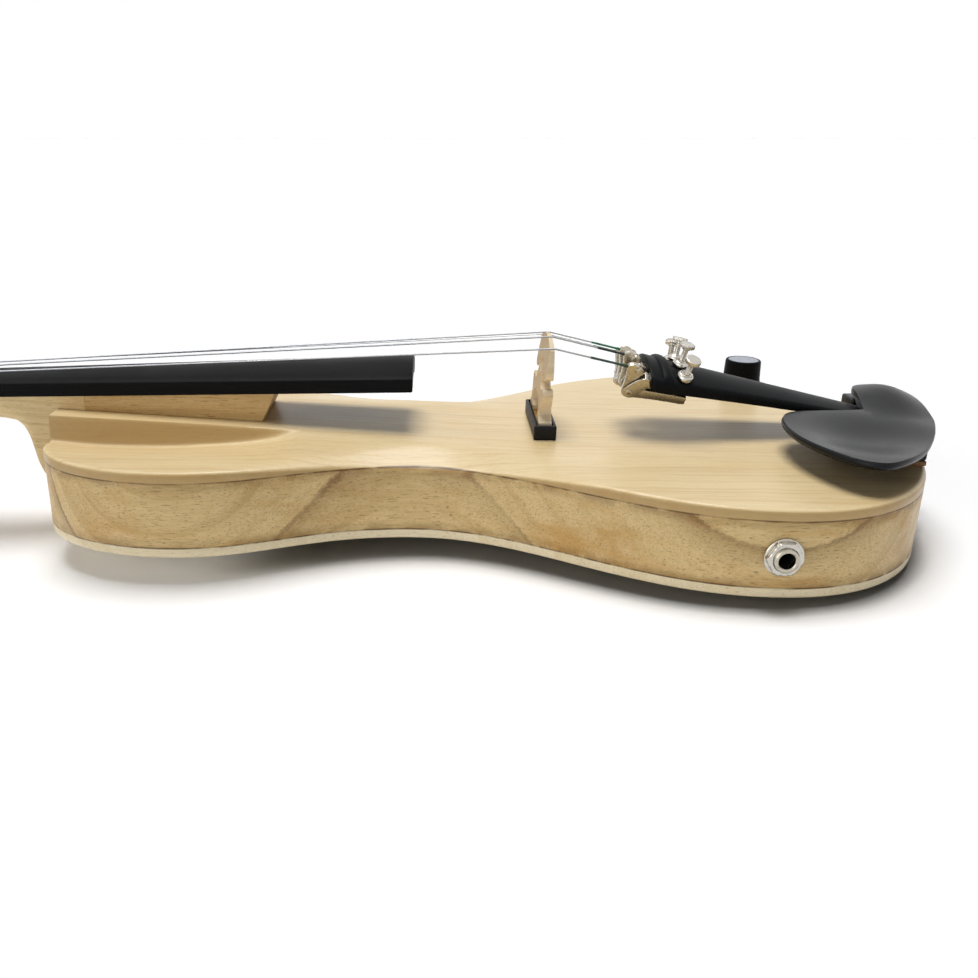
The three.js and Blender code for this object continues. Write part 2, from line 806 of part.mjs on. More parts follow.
// Pickup tray under the bridge, its strip, and the bridge standing in it
const trayTop = bodyDepth + trayHeight;
const trayFloor = trayTop - trayGroove;
const stripTop = trayFloor + glueLine + stripThickness;
const bridgeSole = stripTop + glueLine;
const stripHalf = 20;
const bridgeBase = 5.8;
const stripWidth = bridgeBase - 2 * gap;
place("pickup_tray", cut(
  box(-trayWidth / 2, trayWidth / 2, -trayLength / 2, trayLength / 2, bodyDepth, trayTop),
  box(-trayWidth / 2 + trayWall, trayWidth / 2 - trayWall, -trayLength / 2 + trayWall,
    trayLength / 2 - trayWall, trayFloor, trayTop + overrun),
  rod(leadHole, bodyDepth - overrun, trayTop + overrun, smallSides).translate(0, leadOut, 0),
), FINISH.plastic());
place("pickup_strip", box(-stripWidth / 2, stripWidth / 2, -stripHalf, stripHalf, trayFloor + glueLine,
  stripTop), FINISH.piezo());

const bridgeArch = 40;
const bridgeHeight = bridgeCrest - bridgeSole;
function crestDrop(y) {
  return (y * y) / (2 * bridgeArch);
}

// One half of the bridge's outline from the outer foot to the crest's end, then the arch between the
// feet, the side cut-outs being part of the outline; [across, up] in shares of half span and height
const bridgeSideShares = [[1, 0], [0.99, 0.05], [0.82, 0.12], [0.8, 0.21], [0.92, 0.32], [0.98, 0.38],
  [0.9, 0.44], [0.7, 0.42], [0.52, 0.41], [0.38, 0.48], [0.4, 0.58], [0.54, 0.6], [0.64, 0.54],
  [0.78, 0.53], [0.91, 0.58], [0.93, 0.68], [0.89, 0.8]];
const bridgeArchShares = [[0.44, 0], [0.45, 0.05], [0.56, 0.12], [0.55, 0.2], [0.42, 0.27], [0.26, 0.31],
  [0.1, 0.3], [0, 0.27]];
const heartShares = [[0, 0.52], [0.09, 0.58], [0.17, 0.66], [0.15, 0.73], [0.07, 0.74], [0, 0.7]];
const crestEndShare = 0.87;
const bridgeSteps = 5;

function bridge() {
  const scaled = (table) => table.map(([y, z]) => [y * bridgeHalf, z * bridgeHeight]);
  const mirrored = (points) => [...points].reverse().map(([y, z]) => [-y, z]);
  const side = scaled(bridgeSideShares);
  const arch = scaled(bridgeArchShares);
  const crest = [];
  for (let i = 0; i <= bridgeSteps; i += 1) {
    const y = crestEndShare * bridgeHalf * (1 - i / bridgeSteps);
    crest.push([y, bridgeHeight - crestDrop(y)]);
  }
  const half = [...side, ...crest];
  const farArch = arch.slice(0, -1).map(([y, z]) => [-y, z]);
  const shape = outlineShape([...half, ...mirrored(half.slice(0, -1)), ...farArch,
    ...arch.slice().reverse()]);
  const heart = scaled(heartShares);
  shape.holes.push(new THREE.Path([...heart, ...mirrored(heart.slice(1, -1))]
    .map(([y, z]) => new THREE.Vector2(y, z))));
  const blank = new THREE.ExtrudeGeometry(shape, { depth: bridgeBase, bevelEnabled: false });
  const position = blank.attributes.position;
  for (let i = 0; i < position.count; i += 1) {
    const [y, z] = [position.getX(i), position.getY(i)];
    const thin = lerp(bridgeBase, bridgeEdge, THREE.MathUtils.smoothstep(z / bridgeHeight, 0, 1.2));
    const front = bridgeBase / 2 - thin;
    position.setXYZ(i, position.getZ(i) > 0 ? bridgeBase / 2 : front, y, z + bridgeSole);
  }
  return outward(mergeVertices(blank.deleteAttribute("normal").deleteAttribute("uv"), weld));
}
place("bridge", bridge(), FINISH.bridge());

// Tailpiece: an arched, hollow bar, its end rounded in
const tailTilt = Math.atan(tailpieceFall / tailpieceLength);
const tailpieceEnd = tailReach - tailpieceInset;
const tailpieceStart = tailpieceEnd - tailpieceLength;
const archSteps = 8;
const tailPlanShares = [{ at: 0, half: 0.95 }, { at: 0.02, half: 1 }, { at: 0.25, half: 1 },
  { at: 0.5, half: 1 }, { at: 0.75, half: 1 }, { at: 0.94, half: 1 }, { at: 0.98, half: 0.88 },
  { at: 1, half: 0.66 }];
const tailSolidShare = 0.9;
const fretBack = 6;
const fretWidth = 3;
const fretProud = 1.3;
const tunerBack = 15.5;
const tunerAt = tailpieceStart + tunerBack;
const tunerFan = THREE.MathUtils.degToRad(17.4);
const postRadius = 2.5;
const gutRadius = 1;
const gutSpread = 9;
const gutDrop = 2.6;

function tailCrest(x) {
  return tailpieceCrest - (tailpieceFall * (x - tailpieceStart)) / tailpieceLength;
}
function archDrop(y, radius) {
  return radius - Math.sqrt(radius * radius - y * y);
}
function tailHalf(share) {
  return lerp(tailpieceWide, tailpieceNarrow, share);
}
const tailEndEdge = 3.5;
function tailEdge(share) {
  return lerp(tailpieceEdge, tailEndEdge, share);
}

function tailSection(share, half, thin, bottom) {
  const x = tailpieceStart + tailpieceLength * share;
  const radius = tailpieceArch - thin;
  const low = tailCrest(x) - archDrop(half, tailpieceArch) - bottom;
  const points = [[x, -half, low], [x, half, low]];
  for (let i = 0; i <= archSteps; i += 1) {
    const y = lerp(half, -half, i / archSteps);
    points.push([x, y, tailCrest(x) - thin - archDrop(y, radius)]);
  }
  return points;
}

// The seat of a tuner: its u axis along the slope, its w axis square to the arch
function laneFrame(lane) {
  const turn = lane * tunerFan;
  const slope = new THREE.Vector3(Math.cos(tailTilt), 0, -Math.sin(tailTilt));
  const square = new THREE.Vector3(Math.tan(tailTilt), Math.tan(turn), 1).normalize();
  const across = new THREE.Vector3().crossVectors(square, slope);
  const y = tailpieceArch * Math.sin(turn);
  return new THREE.Matrix4().makeBasis(slope, across, square)
    .setPosition(tunerAt, y, tailCrest(tunerAt) - archDrop(y, tailpieceArch));
}

function ontoTailpiece(geometry, lane) {
  return geometry.applyMatrix4(laneFrame(lane));
}

function tailpiece() {
  const blank = loft(tailPlanShares.map(({ at, half }) =>
    tailSection(at, tailHalf(at) * half, 0, tailEdge(at))));
  const hollowShares = [-overrun / tailpieceLength, 0.25, 0.5, 0.7, tailSolidShare];
  const hollow = loft(hollowShares.map((at) =>
    tailSection(at, tailHalf(at) - tailpieceWall, tailpieceWall, tailEdge(at) + overrun)));
  const fret = loft([fretBack, fretBack + fretWidth].map((back) => back / tailpieceLength).map((at) =>
    tailSection(at, tailHalf(at) - tailpieceWall / 2, -fretProud, -tailpieceWall / 2)));
  const posts = PEGS.map(({ lane }) =>
    ontoTailpiece(rod(postRadius + gap, -tailpieceWall - overrun, overrun, smallSides), lane));
  const guts = [-1, 1].map((side) => rod(gutRadius + gap, -tailpieceLength / 4, overrun, smallSides)
    .rotateY(Math.PI / 2).translate(tailpieceEnd, (side * gutSpread) / 2, tailCrest(tailpieceEnd) - gutDrop));
  return cut(join(blank, fret), hollow, ...posts, ...guts);
}
place("tailpiece", tailpiece(), FINISH.plastic());

// Fine tuners, built standing on their seat and then set on the tailpiece's arch:
// u runs down the tailpiece to the tail, v across it and w up from its surface
const tunerNut = 3.7;
const tunerNutHeight = 2.4;
const postTop = 3.1;
const postFloor = 7.6;
const screwRadius = 1.3;
const screwHead = 3.4;
const screwHeadHeight = 1.9;
const screwReach = 9.2;
const pivotBack = 21.5;
const pivotDrop = 13;
const hookBack = 22.5;
const hookDrop = 0.5;
const contactDrop = 10.5;
const pinRadius = 1.1;
const leverHalf = 1.3;
const cheekHalf = 0.9;
const plateThick = 1.1;
const plateHalf = 2.7;
const leverTail = 4.5;

// The lever's outline round its pivot, in shares of the arm back to the screw and the rise to the hook
const leverShares = [[1.2, 0.17], [1.2, -0.02], [0.6, -0.12], [0.12, -0.24], [-0.04, -0.24],
  [-0.13, -0.14], [-0.13, 0.1], [-0.1, 0.5], [-0.12, 0.8], [-0.2, 0.93], [-0.22, 1.1], [-0.13, 1.14],
  [-0.05, 1.02], [0.02, 0.86], [0.04, 0.5], [0.1, 0.2], [0.24, 0.08], [0.7, 0.14]];
const cheekShares = [[0.78, 0.74], [0.24, 0.74], [-0.08, 0.3], [-0.14, 0.06], [-0.08, -0.18],
  [0.1, -0.2], [0.2, -0.02], [0.34, 0.36], [0.78, 0.5]];

// A plate standing in the u-w plane between two places across
function uprightPlate(points, from, to) {
  return slab(points, from, to).rotateX(Math.PI / 2);
}

function pivotOutline(table) {
  const rise = pivotDrop - hookDrop;
  return table.map(([u, w]) => [u * pivotBack - pivotBack, w * rise - pivotDrop]);
}

function tunerBracket() {
  const outer = leverHalf + gap + cheekHalf;
  const top = -tailpieceWall - 2 * gap;
  const cheeks = [-1, 1].map((side) => uprightPlate(pivotOutline(cheekShares),
    Math.min(side * (leverHalf + gap), side * outer), Math.max(side * (leverHalf + gap), side * outer)));
  const pin = rod(pinRadius, -outer, outer, smallSides).rotateX(Math.PI / 2)
    .translate(-pivotBack, 0, -pivotDrop);
  const plate = box(-pivotBack * cheekShares[0][0], postRadius + plateThick, -plateHalf, plateHalf,
    top - plateThick, top);
  const post = rod(postRadius, -postFloor, postTop, smallSides);
  return cut(join(plate, post, ...cheeks, pin), rod(screwRadius + gap, -postFloor - overrun,
    postTop + overrun, smallSides));
}

function tunerLever() {
  const plate = uprightPlate(pivotOutline(leverShares), -leverHalf, leverHalf);
  const pivot = rod(pinRadius + gap, -overrun, overrun, smallSides).rotateX(Math.PI / 2)
    .translate(-pivotBack, 0, -pivotDrop);
  return cut(plate, pivot);
}

function tunerScrew() {
  const low = -contactDrop + gap + leverHalf;
  const top = screwReach + screwHeadHeight;
  const edge = screwHeadHeight / 4;
  return turned([[0, low], [screwRadius, low], [screwRadius, screwReach], [screwHead - edge, screwReach],
    [screwHead, screwReach + edge], [screwHead, top - edge], [screwHead - edge, top], [0, top]], smallSides);
}

// The round nut, domed towards its post
function tunerNutRing() {
  const low = gap;
  const high = gap + tunerNutHeight;
  const bore = postRadius + gap;
  return turned([[bore, low], [tunerNut - gap, low], [tunerNut, lerp(low, high, 1 / 4)],
    [tunerNut, lerp(low, high, 1 / 2)], [lerp(tunerNut, bore, 1 / 3), lerp(low, high, 3 / 4)],
    [lerp(tunerNut, bore, 2 / 3), high], [bore, high], [bore, low]], smallSides);
}

PEGS.forEach(({ name, lane }) => {
  place(`tuner_bracket_${name}`, ontoTailpiece(tunerBracket(), lane), FINISH.nickel());
  place(`tuner_nut_${name}`, ontoTailpiece(tunerNutRing(), lane), FINISH.nickel());
  place(`tuner_lever_${name}`, ontoTailpiece(tunerLever(), lane), FINISH.nickel());
  place(`tuner_screw_${name}`, ontoTailpiece(tunerScrew(), lane), FINISH.nickel());
});

// Strings: from the peg over nut and bridge to the tuner's hook
const windTurns = 3.5;
const windSteps = 24;
const windSides = 6;
const windGap = 0.5;
const windRim = 1.3;

function lanePoint(lane, u, w) {
  return new THREE.Vector3(u, 0, w).applyMatrix4(laneFrame(lane)).toArray();
}

// Where the winding starts: on top of the peg, near the cheek on the head's side
function windStart(peg) {
  const [x, z] = pegAxis(peg);
  const y = peg.side * (headHalf(peg.alongShare * headLength) - cheek - windRim);
  return { x, y, z, radius: pegRadius + gap + peg.string };
}

function stringRoute(peg) {
  const start = windStart(peg);
  const across = peg.lane / 3;
  const nutY = across * nutSpread;
  const crestY = across * stringSpread;
  const over = peg.string + gap;
  const clear = Math.sqrt((start.radius + peg.string + over) ** 2 - start.radius ** 2);
  const nutBack = nutTop(nutY) + over;
  const crestX = (bridgeBase - bridgeEdge) / 2;
  const crestZ = bridgeCrest - crestDrop(crestY) + over;
  return [
    [start.x + clear, start.y, start.z + start.radius],
    [boardNut - nutWidth, nutY, nutBack],
    [boardNut, nutY, nutBack],
    [crestX - bridgeEdge, crestY, crestZ],
    [bridgeBase / 2 + gap, crestY, crestZ],
    lanePoint(peg.lane, -hookBack - leverTail, -hookDrop),
  ];
}

function windPoints(peg) {
  const start = windStart(peg);
  const pitch = 2 * peg.string + windGap;
  const points = [];
  for (let i = 0; i <= windTurns * windSteps; i += 1) {
    const turn = i / windSteps;
    const angle = 2 * Math.PI * turn;
    points.push([start.x - start.radius * Math.sin(angle), start.y - peg.side * pitch * turn,
      start.z + start.radius * Math.cos(angle)]);
  }
  return points;
}

// Least gap of a winding to itself, between points at least half a turn apart
function leastGap(points, radius) {
  let least = Infinity;
  points.forEach((a, i) => {
    for (let k = i + windSteps / 2; k < points.length; k += 1) {
      least = Math.min(least, Math.hypot(a[0] - points[k][0], a[1] - points[k][1], a[2] - points[k][2]));
    }
  });
  return least - 2 * radius;
}

PEGS.forEach((peg) => {
  place(`string_${peg.name}`, tube(stringRoute(peg), peg.string), FINISH.steel());
  const points = windPoints(peg);
  place(`winding_${peg.name}`, tube(points, peg.string, windSides), FINISH.steel());
  console.log(`winding_${peg.name} least gap`, leastGap(points, peg.string).toFixed(2), "mm");
});

// End button and the gut that ties the tailpiece to it over the saddle
const collar = 7;
const collarThick = 2.5;
const grooveRadius = 4.2;
const grooveWidth = 3.6;
const buttonHead = 7.4;
const buttonHeadLong = 8.6;
const buttonStart = tailReach + gap;
const grooveStart = buttonStart + collarThick;
const headStart = grooveStart + grooveWidth;

place("end_button", turned([
  [0, -buttonDepth + gap],
  [buttonShank, -buttonDepth + gap],
  [buttonShank, gap],
  [collar, gap],
  [collar, gap + collarThick],
  [grooveRadius, gap + collarThick],
  [grooveRadius, gap + collarThick + grooveWidth],
  [buttonHead, headStart - tailReach],
  [buttonHead, headStart - tailReach + buttonHeadLong / 2],
  [buttonHead / 2, headStart - tailReach + buttonHeadLong],
  [0, headStart - tailReach + buttonHeadLong],
], smallSides).rotateY(Math.PI / 2).translate(tailReach, 0, buttonAt), FINISH.ebony());

const gutLoopSteps = 8;
function tailgut() {
  const loop = grooveRadius + gap + gutRadius;
  const at = grooveStart + grooveWidth / 2;
  const rise = gutRadius + gap;
  const side = (sign) => [
    [tailpieceEnd - tailpieceNarrow / 3, (sign * gutSpread) / 2, tailCrest(tailpieceEnd) - gutDrop],
    [tailpieceEnd + gap, (sign * gutSpread) / 2, tailCrest(tailpieceEnd) - gutDrop],
    [saddleEnd - saddleDeep / 2, (sign * gutSpread) / 2, saddleTop + rise],
    [saddleEnd + gap, (sign * gutSpread) / 2, saddleTop + rise / 2],
    [tailReach + 2 * rise, (sign * gutSpread) / 2, saddleTop - 3 * rise],
    [at - gap, sign * loop, buttonAt + 2 * collar],
  ];
  const round = [];
  for (let i = 0; i <= gutLoopSteps; i += 1) {
    const angle = Math.PI * (1 + i / gutLoopSteps);
    round.push([at, loop * Math.cos(angle), buttonAt + loop * Math.sin(angle)]);
  }
  return [...side(-1), ...round, ...side(1).reverse()];
}
place("tailgut", tube(tailgut(), gutRadius), FINISH.gut());

// Volume control: knob on its shaft, potentiometer under the top
const shaftRadius = 2.9;
const potWasher = 6.2;
const potWasherThick = 0.6;
const potNut = 10.5;
const potNutThick = 2;
const potBushingTop = 4.2;
const knobLift = 0.8;
const knobRecess = 8.4;
const knobRecessHigh = 5.4;
const knobRoof = 2.2;
const lugLong = 3;
const lugHalf = 0.5;
const lugSpread = 1.6;

function atKnob(geometry) {
  return geometry.translate(knobAt, knobOut, 0);
}
const knobFloor = bodyDepth + knobLift;
const knobCeiling = knobFloor + knobRecessHigh;
const shaftTop = knobFloor + knobHeight - knobRoof;
place("volume_knob", atKnob(turned([
  [0, shaftTop + gap],
  [shaftRadius + gap, shaftTop + gap],
  [shaftRadius + gap, knobCeiling],
  [knobRecess, knobCeiling],
  [knobRecess, knobFloor],
  [knobSkirt, knobFloor],
  [knobSkirt, knobFloor + knobHeight / 6],
  [knobTop + knobRoof / 4, knobFloor + knobHeight / 3],
  [knobTop, knobFloor + knobHeight - knobRoof / 3],
  [knobTop - knobRoof / 3, knobFloor + knobHeight],
  [0, knobFloor + knobHeight],
])), FINISH.plastic());
place("pot_shaft", atKnob(rod(shaftRadius, coreTop - potDepth / 2 + gap, shaftTop, smallSides)),
  FINISH.steel());
const potLugs = [-1, 1].map((side) => box(side * lugSpread - lugHalf, side * lugSpread + lugHalf,
  -potCase - lugLong, -potCase / 2, coreTop - potDepth / 2 - 2 * lugHalf, coreTop - potDepth / 2));
place("pot_case", atKnob(cut(
  join(rod(potCase, coreTop - potDepth, coreTop - glueLine, smallSides),
    rod(potBushing, coreTop - potDepth / 2, bodyDepth + potBushingTop, smallSides), ...potLugs),
  rod(shaftRadius + gap, coreTop - potDepth / 2, bodyDepth + potBushingTop + overrun, smallSides),
)), FINISH.steel());
place("pot_washer", atKnob(ring(potBushing + gap, potWasher, bodyDepth + glueLine,
  bodyDepth + glueLine + potWasherThick, smallSides)), FINISH.nickel());
place("pot_nut", atKnob(cut(
  hexagon(potNut, bodyDepth + potWasherThick + 2 * glueLine, bodyDepth + potWasherThick + potNutThick),
  rod(potBushing + gap, bodyDepth, bodyDepth + potNutThick + overrun, smallSides),
)), FINISH.nickel());

// Output jack in the bass rib
const jackFlange = 6.4;
const jackProud = 4.4;
const jackWasher = 7.6;
const jackWasherThick = 0.8;
const jackNut = 12.7;
const jackNutThick = 2.3;
const jackSocketDeep = 24;
const jackSeat = lowerHalf + gap;
function atJack(geometry) {
  return geometry.rotateX(Math.PI / 2).translate(jackAt, -jackSeat, jackHeight);
}
const jackShoulder = jackSeat - jackFace + jackWall + gap;
place("jack_body", atJack(turned([
  [0, -jackSocketDeep],
  [jackBore, -jackSocketDeep],
  [jackBore, jackProud],
  [jackThread, jackProud],
  [jackThread, -jackShoulder],
  [jackFlange, -jackShoulder],
  [jackFlange, -jackShoulder - jackWall / 3],
  [jackBarrel, -jackShoulder - jackWall / 3],
  [jackBarrel, -jackShoulder - jackBarrelLength],
  [0, -jackShoulder - jackBarrelLength],
], smallSides)), FINISH.nickel());
place("jack_washer", atJack(ring(jackThread + gap, jackWasher, 0, jackWasherThick, smallSides)),
  FINISH.nickel());
place("jack_nut", atJack(cut(
  hexagon(jackNut, jackWasherThick + glueLine, jackWasherThick + jackNutThick),
  rod(jackThread + gap, -overrun, jackProud + overrun, smallSides),
)), FINISH.nickel());

// Leads in the core's channels, as chosen points
const leadHigh = coreTop - channelDepth / 2;
const lugTip = knobOut - potCase - lugLong - gap;
const jackTail = -jackSeat + jackShoulder + jackBarrelLength + gap;
place("pickup_lead", tube([
  [0, leadOut, trayFloor - gap / 2],
  [0, leadOut, leadHigh + channelHalf],
  [channelHalf, leadOut, leadHigh],
  [knobAt - lugSpread - leadRadius, leadOut, leadHigh],
  [knobAt - lugSpread, leadOut + leadRadius, leadHigh],
  [knobAt - lugSpread, lugTip, leadHigh],
], leadRadius), FINISH.lead());
place("jack_lead", tube([
  [knobAt + lugSpread, lugTip, leadHigh],
  [knobAt + lugSpread, leadOut + channelHalf, leadHigh - channelHalf],
  [knobAt, leadOut, leadHigh - channelHalf],
  [jackAt + 2 * channelHalf, leadOut, leadHigh - channelHalf],
  [jackAt, leadOut - channelHalf, leadHigh - channelHalf],
  [jackAt, jackTail + 4 * channelHalf, leadHigh - channelHalf],
  [jackAt, jackTail + 2 * channelHalf, jackHeight + leadRadius],
  [jackAt, jackTail, jackHeight],
], leadRadius), FINISH.lead());

// Chinrest: a cup beside the tailpiece with a hump over it, on two corked feet at the tail edge
const cupRim = 50;
const cupUnder = 43.5;
const humpRise = 6.5;
const bowlDepth = 3.6;
const cupAtShares = [1.3, -0.52];
const humpAtShares = [1.6, 0.06];
const humpReach = 30;
const bowlReach = 34;
const feetTop = 47;
const corkThick = 2;
const cupScale = 100;
const cupAt = cupAtShares.map((share) => share * cupScale);
const humpAt = humpAtShares.map((share) => share * cupScale);
const cupRingShares = [1, 0.965, 0.88, 0.7, 0.45, 0.2];
const rimRoundShares = [0.42, 0.12, 0, 0, 0, 0];

// Plan of the cup, places along and across the body in shares of its length
const cupPlanShares = [[0.98, -0.38], [1.01, -0.27], [1.09, -0.19], [1.24, -0.16], [1.38, -0.14],
  [1.47, -0.09], [1.49, 0.03], [1.5, 0.15], [1.53, 0.25], [1.6, 0.31], [1.68, 0.29], [1.73, 0.2],
  [1.755, 0.08], [1.76, -0.04], [1.75, -0.16], [1.72, -0.28], [1.65, -0.43], [1.57, -0.57],
  [1.47, -0.72], [1.36, -0.85], [1.23, -0.94], [1.14, -0.91], [1.08, -0.78], [1.03, -0.62],
  [0.98, -0.49]];

function cupTop(x, y) {
  const hump = Math.hypot((x - humpAt[0]), (y - humpAt[1])) / humpReach;
  const bowl = Math.hypot((x - cupAt[0]), (y - cupAt[1])) / bowlReach;
  const swell = THREE.MathUtils.smoothstep(1 - hump, 0, 1);
  const dish = THREE.MathUtils.smoothstep(1 - bowl, 0, 1);
  return cupRim + humpRise * swell - bowlDepth * dish;
}
function cupBottom(x, y) {
  const hump = Math.hypot((x - humpAt[0]), (y - humpAt[1])) / humpReach;
  const swell = THREE.MathUtils.smoothstep(1 - hump, 0, 1 / 3);
  return cupUnder + humpRise * swell;
}

function cup() {
  const middle = [lerp(cupAt[0], humpAt[0], 1 / 3), lerp(cupAt[1], humpAt[1], 1 / 3)];
  const rings = cupRingShares.map((share) => cupPlanShares.map(([u, v]) =>
    [lerp(middle[0], u * cupScale, share), lerp(middle[1], v * cupScale, share)]));
  const layers = [];
  [...rings].reverse().forEach((points) => layers.push(points.map(([x, y]) => [x, y, cupBottom(x, y)])));
  rings.forEach((points, i) => layers.push(points.map(([x, y]) =>
    [x, y, lerp(cupTop(x, y), cupBottom(x, y), rimRoundShares[i])])));
  return loft(layers);
}

// Clamp: two brackets with threaded posts, pulled together by two barrels
const clampHalf = 19;
const clampOut = 4;
const clampAt = tailReach + clampOut;
const clampPost = 1.5;
const clampBarrel = 3.2;
const clampPlate = 1.2;
const clampPlateHalf = 23;
const clampReach = 12;
const clampLift = 3.5;
const backCork = 1;
const barrelLow = 8;
const barrelHigh = 27;
const postMeet = 1.5;
const barrelHole = 0.9;
const clampMiddle = (barrelLow + barrelHigh) / 2;
const clampUnder = saddleTop + clampLift + clampPlate;

// The feet stand on cork at the tail edge, one on each side of the gut
const footInset = 17;
const footWidth = 8;
const bassFootOut = 52;
const bassFootIn = 27;
const trebleFootIn = 13;
const trebleFootOut = 27;
const FEET = [
  { name: "bass", low: -bassFootOut, high: -bassFootIn },
  { name: "treble", low: trebleFootIn, high: trebleFootOut },
];
function footBlock(foot, low, high) {
  return box(tailReach - footInset, tailReach - footInset + footWidth, foot.low, foot.high, low, high);
}
function chinrest() {
  const feet = FEET.map((foot) => footBlock(foot, bodyDepth + corkThick + glueLine, feetTop + humpRise / 2));
  const recess = box(clampAt - clampReach - gap, clampAt + clampReach, -clampPlateHalf - gap,
    clampPlateHalf + gap, cupUnder - overrun, clampUnder + gap);
  return cut(join(cup(), ...feet), recess);
}
place("chinrest", chinrest(), FINISH.plastic());
FEET.forEach((foot) => place(`chinrest_cork_${foot.name}`,
  footBlock(foot, bodyDepth + glueLine, bodyDepth + corkThick), FINISH.cork()));

function clampPosts(low, high) {
  return [-1, 1].map((side) => rod(clampPost, low, high, smallSides).translate(clampAt, side * clampHalf, 0));
}
place("clamp_bracket_top", join(
  box(clampAt - clampReach, clampAt + clampPost, -clampPlateHalf, clampPlateHalf, clampUnder - clampPlate,
    clampUnder),
  ...clampPosts(clampMiddle + postMeet, clampUnder - clampPlate / 2),
), FINISH.nickel());
place("clamp_bracket_back", join(
  box(clampAt - clampReach, clampAt + clampPost, -clampPlateHalf, clampPlateHalf, -backCork - clampPlate,
    -backCork),
  ...clampPosts(-backCork - clampPlate / 2, clampMiddle - postMeet),
), FINISH.nickel());
place("clamp_cork_back", box(clampAt - clampReach, tailReach - clampOut, -clampPlateHalf, clampPlateHalf,
  -backCork + glueLine, -glueLine), FINISH.cork());
[[-1, "bass"], [1, "treble"]].forEach(([side, name]) => place(`clamp_barrel_${name}`, cut(
  ring(clampPost + gap, clampBarrel, barrelLow, barrelHigh, smallSides),
  rod(barrelHole, -2 * clampBarrel, 2 * clampBarrel, smallSides / 2).rotateX(Math.PI / 2)
    .translate(0, 0, clampMiddle),
).translate(clampAt, side * clampHalf, 0), FINISH.nickel()));

export default group;
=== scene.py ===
"""Electric violin: the finished look of every piece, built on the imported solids.

Forms are written in millimetres, +X from the bridge to the tail, -Y the bass side and +Z up,
and turned into metres when a piece is made.
"""

import logging
from dataclasses import dataclass, field
from enum import Enum
from math import atan, copysign, cos, dist, hypot, pi, radians, sin, sqrt, tan
from typing import Callable

import bmesh
import bpy
from mathutils import Matrix, Vector


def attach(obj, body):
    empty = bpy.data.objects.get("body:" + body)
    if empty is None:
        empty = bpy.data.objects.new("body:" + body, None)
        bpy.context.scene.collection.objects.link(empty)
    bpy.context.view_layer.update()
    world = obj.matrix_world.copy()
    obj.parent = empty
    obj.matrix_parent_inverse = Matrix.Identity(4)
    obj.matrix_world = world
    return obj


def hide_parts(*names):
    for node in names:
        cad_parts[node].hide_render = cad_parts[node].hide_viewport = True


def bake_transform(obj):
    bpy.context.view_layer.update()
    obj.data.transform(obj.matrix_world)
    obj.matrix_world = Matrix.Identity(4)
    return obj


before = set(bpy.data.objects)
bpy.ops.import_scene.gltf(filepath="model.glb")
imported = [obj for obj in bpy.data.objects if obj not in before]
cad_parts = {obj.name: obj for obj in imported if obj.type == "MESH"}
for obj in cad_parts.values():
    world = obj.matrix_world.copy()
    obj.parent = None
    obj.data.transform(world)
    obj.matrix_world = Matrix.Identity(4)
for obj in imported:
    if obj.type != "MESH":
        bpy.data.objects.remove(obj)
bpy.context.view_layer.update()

MM = 0.001
FULL_TURN = 2 * pi
TAIL = 168.0
KNOB_AT, JACK_AT = (118.5, 80.0), (82.0, 17.5)
BUTTON_AT = 17.0
NUT_SPREAD, BRIDGE_SPREAD = 16.5, 33.5
LEAD_OUT, LEAD_HOLE = 12.0, 1.8
JACK_WALL = 6.5
SEAT = 36.03

Flat = tuple[float, float]
Point = tuple[float, float, float]
Colour = tuple[float, float, float, float]
Socket = bpy.types.NodeSocket
Piece = bpy.types.Object

log = logging.getLogger("violin")


class Side(Enum):
    """Side of the instrument that a peg, foot or barrel belongs to."""

    BASS = -1
    TREBLE = 1


def lerp(a: float, b: float, share: float) -> float:
    """Value between a and b."""
    return a + (b - a) * share


def clamp(value: float, low: float = 0.0, high: float = 1.0) -> float:
    """Value held between low and high."""
    return max(low, min(high, value))


def ease(value: float) -> float:
    """Smooth step from 0 to 1."""
    t = clamp(value)
    return t * t * (3 - 2 * t)


def spread(low: float, high: float, count: int) -> list[float]:
    """Even places from low to high, both ends included."""
    return [lerp(low, high, i / (count - 1)) for i in range(count)]


def paint(code: str) -> Colour:
    """Linear colour of a hexadecimal screen colour.

    Args:
        code: Six hexadecimal digits.

    Returns:
        Red, green, blue and full cover.
    """
    parts = [int(code[i:i + 2], 16) / 255 for i in (0, 2, 4)]
    linear = [p / 12.92 if p <= 0.04045 else ((p + 0.055) / 1.055) ** 2.4 for p in parts]
    return (*linear, 1.0)


def through(table: list[Flat], place: float) -> float:
    """Smooth value of a table that never swings past its own points.

    Args:
        table: Places and values, places rising.
        place: Where the value is wanted.

    Returns:
        The value there, held at the table's ends.
    """
    if place <= table[0][0]:
        return table[0][1]
    if place >= table[-1][0]:
        return table[-1][1]
    steps = [(b[1] - a[1]) / (b[0] - a[0]) for a, b in zip(table, table[1:])]

    def slope(i: int) -> float:
        """Slope at a point of the table."""
        if i == 0 or i == len(steps):
            return steps[min(i, len(steps) - 1)]
        before, after = steps[i - 1], steps[i]
        return 0.0 if before * after <= 0 else 2 * before * after / (before + after)

    k = next(i for i in range(len(steps)) if place <= table[i + 1][0])
    width = table[k + 1][0] - table[k][0]
    t = (place - table[k][0]) / width
    start, end = table[k][1], table[k + 1][1]
    rise = (2 * t - 3) * t * t
    return ((rise + 1) * start - rise * end + (t - 1) ** 2 * t * width * slope(k)
        + (t - 1) * t * t * width * slope(k + 1))


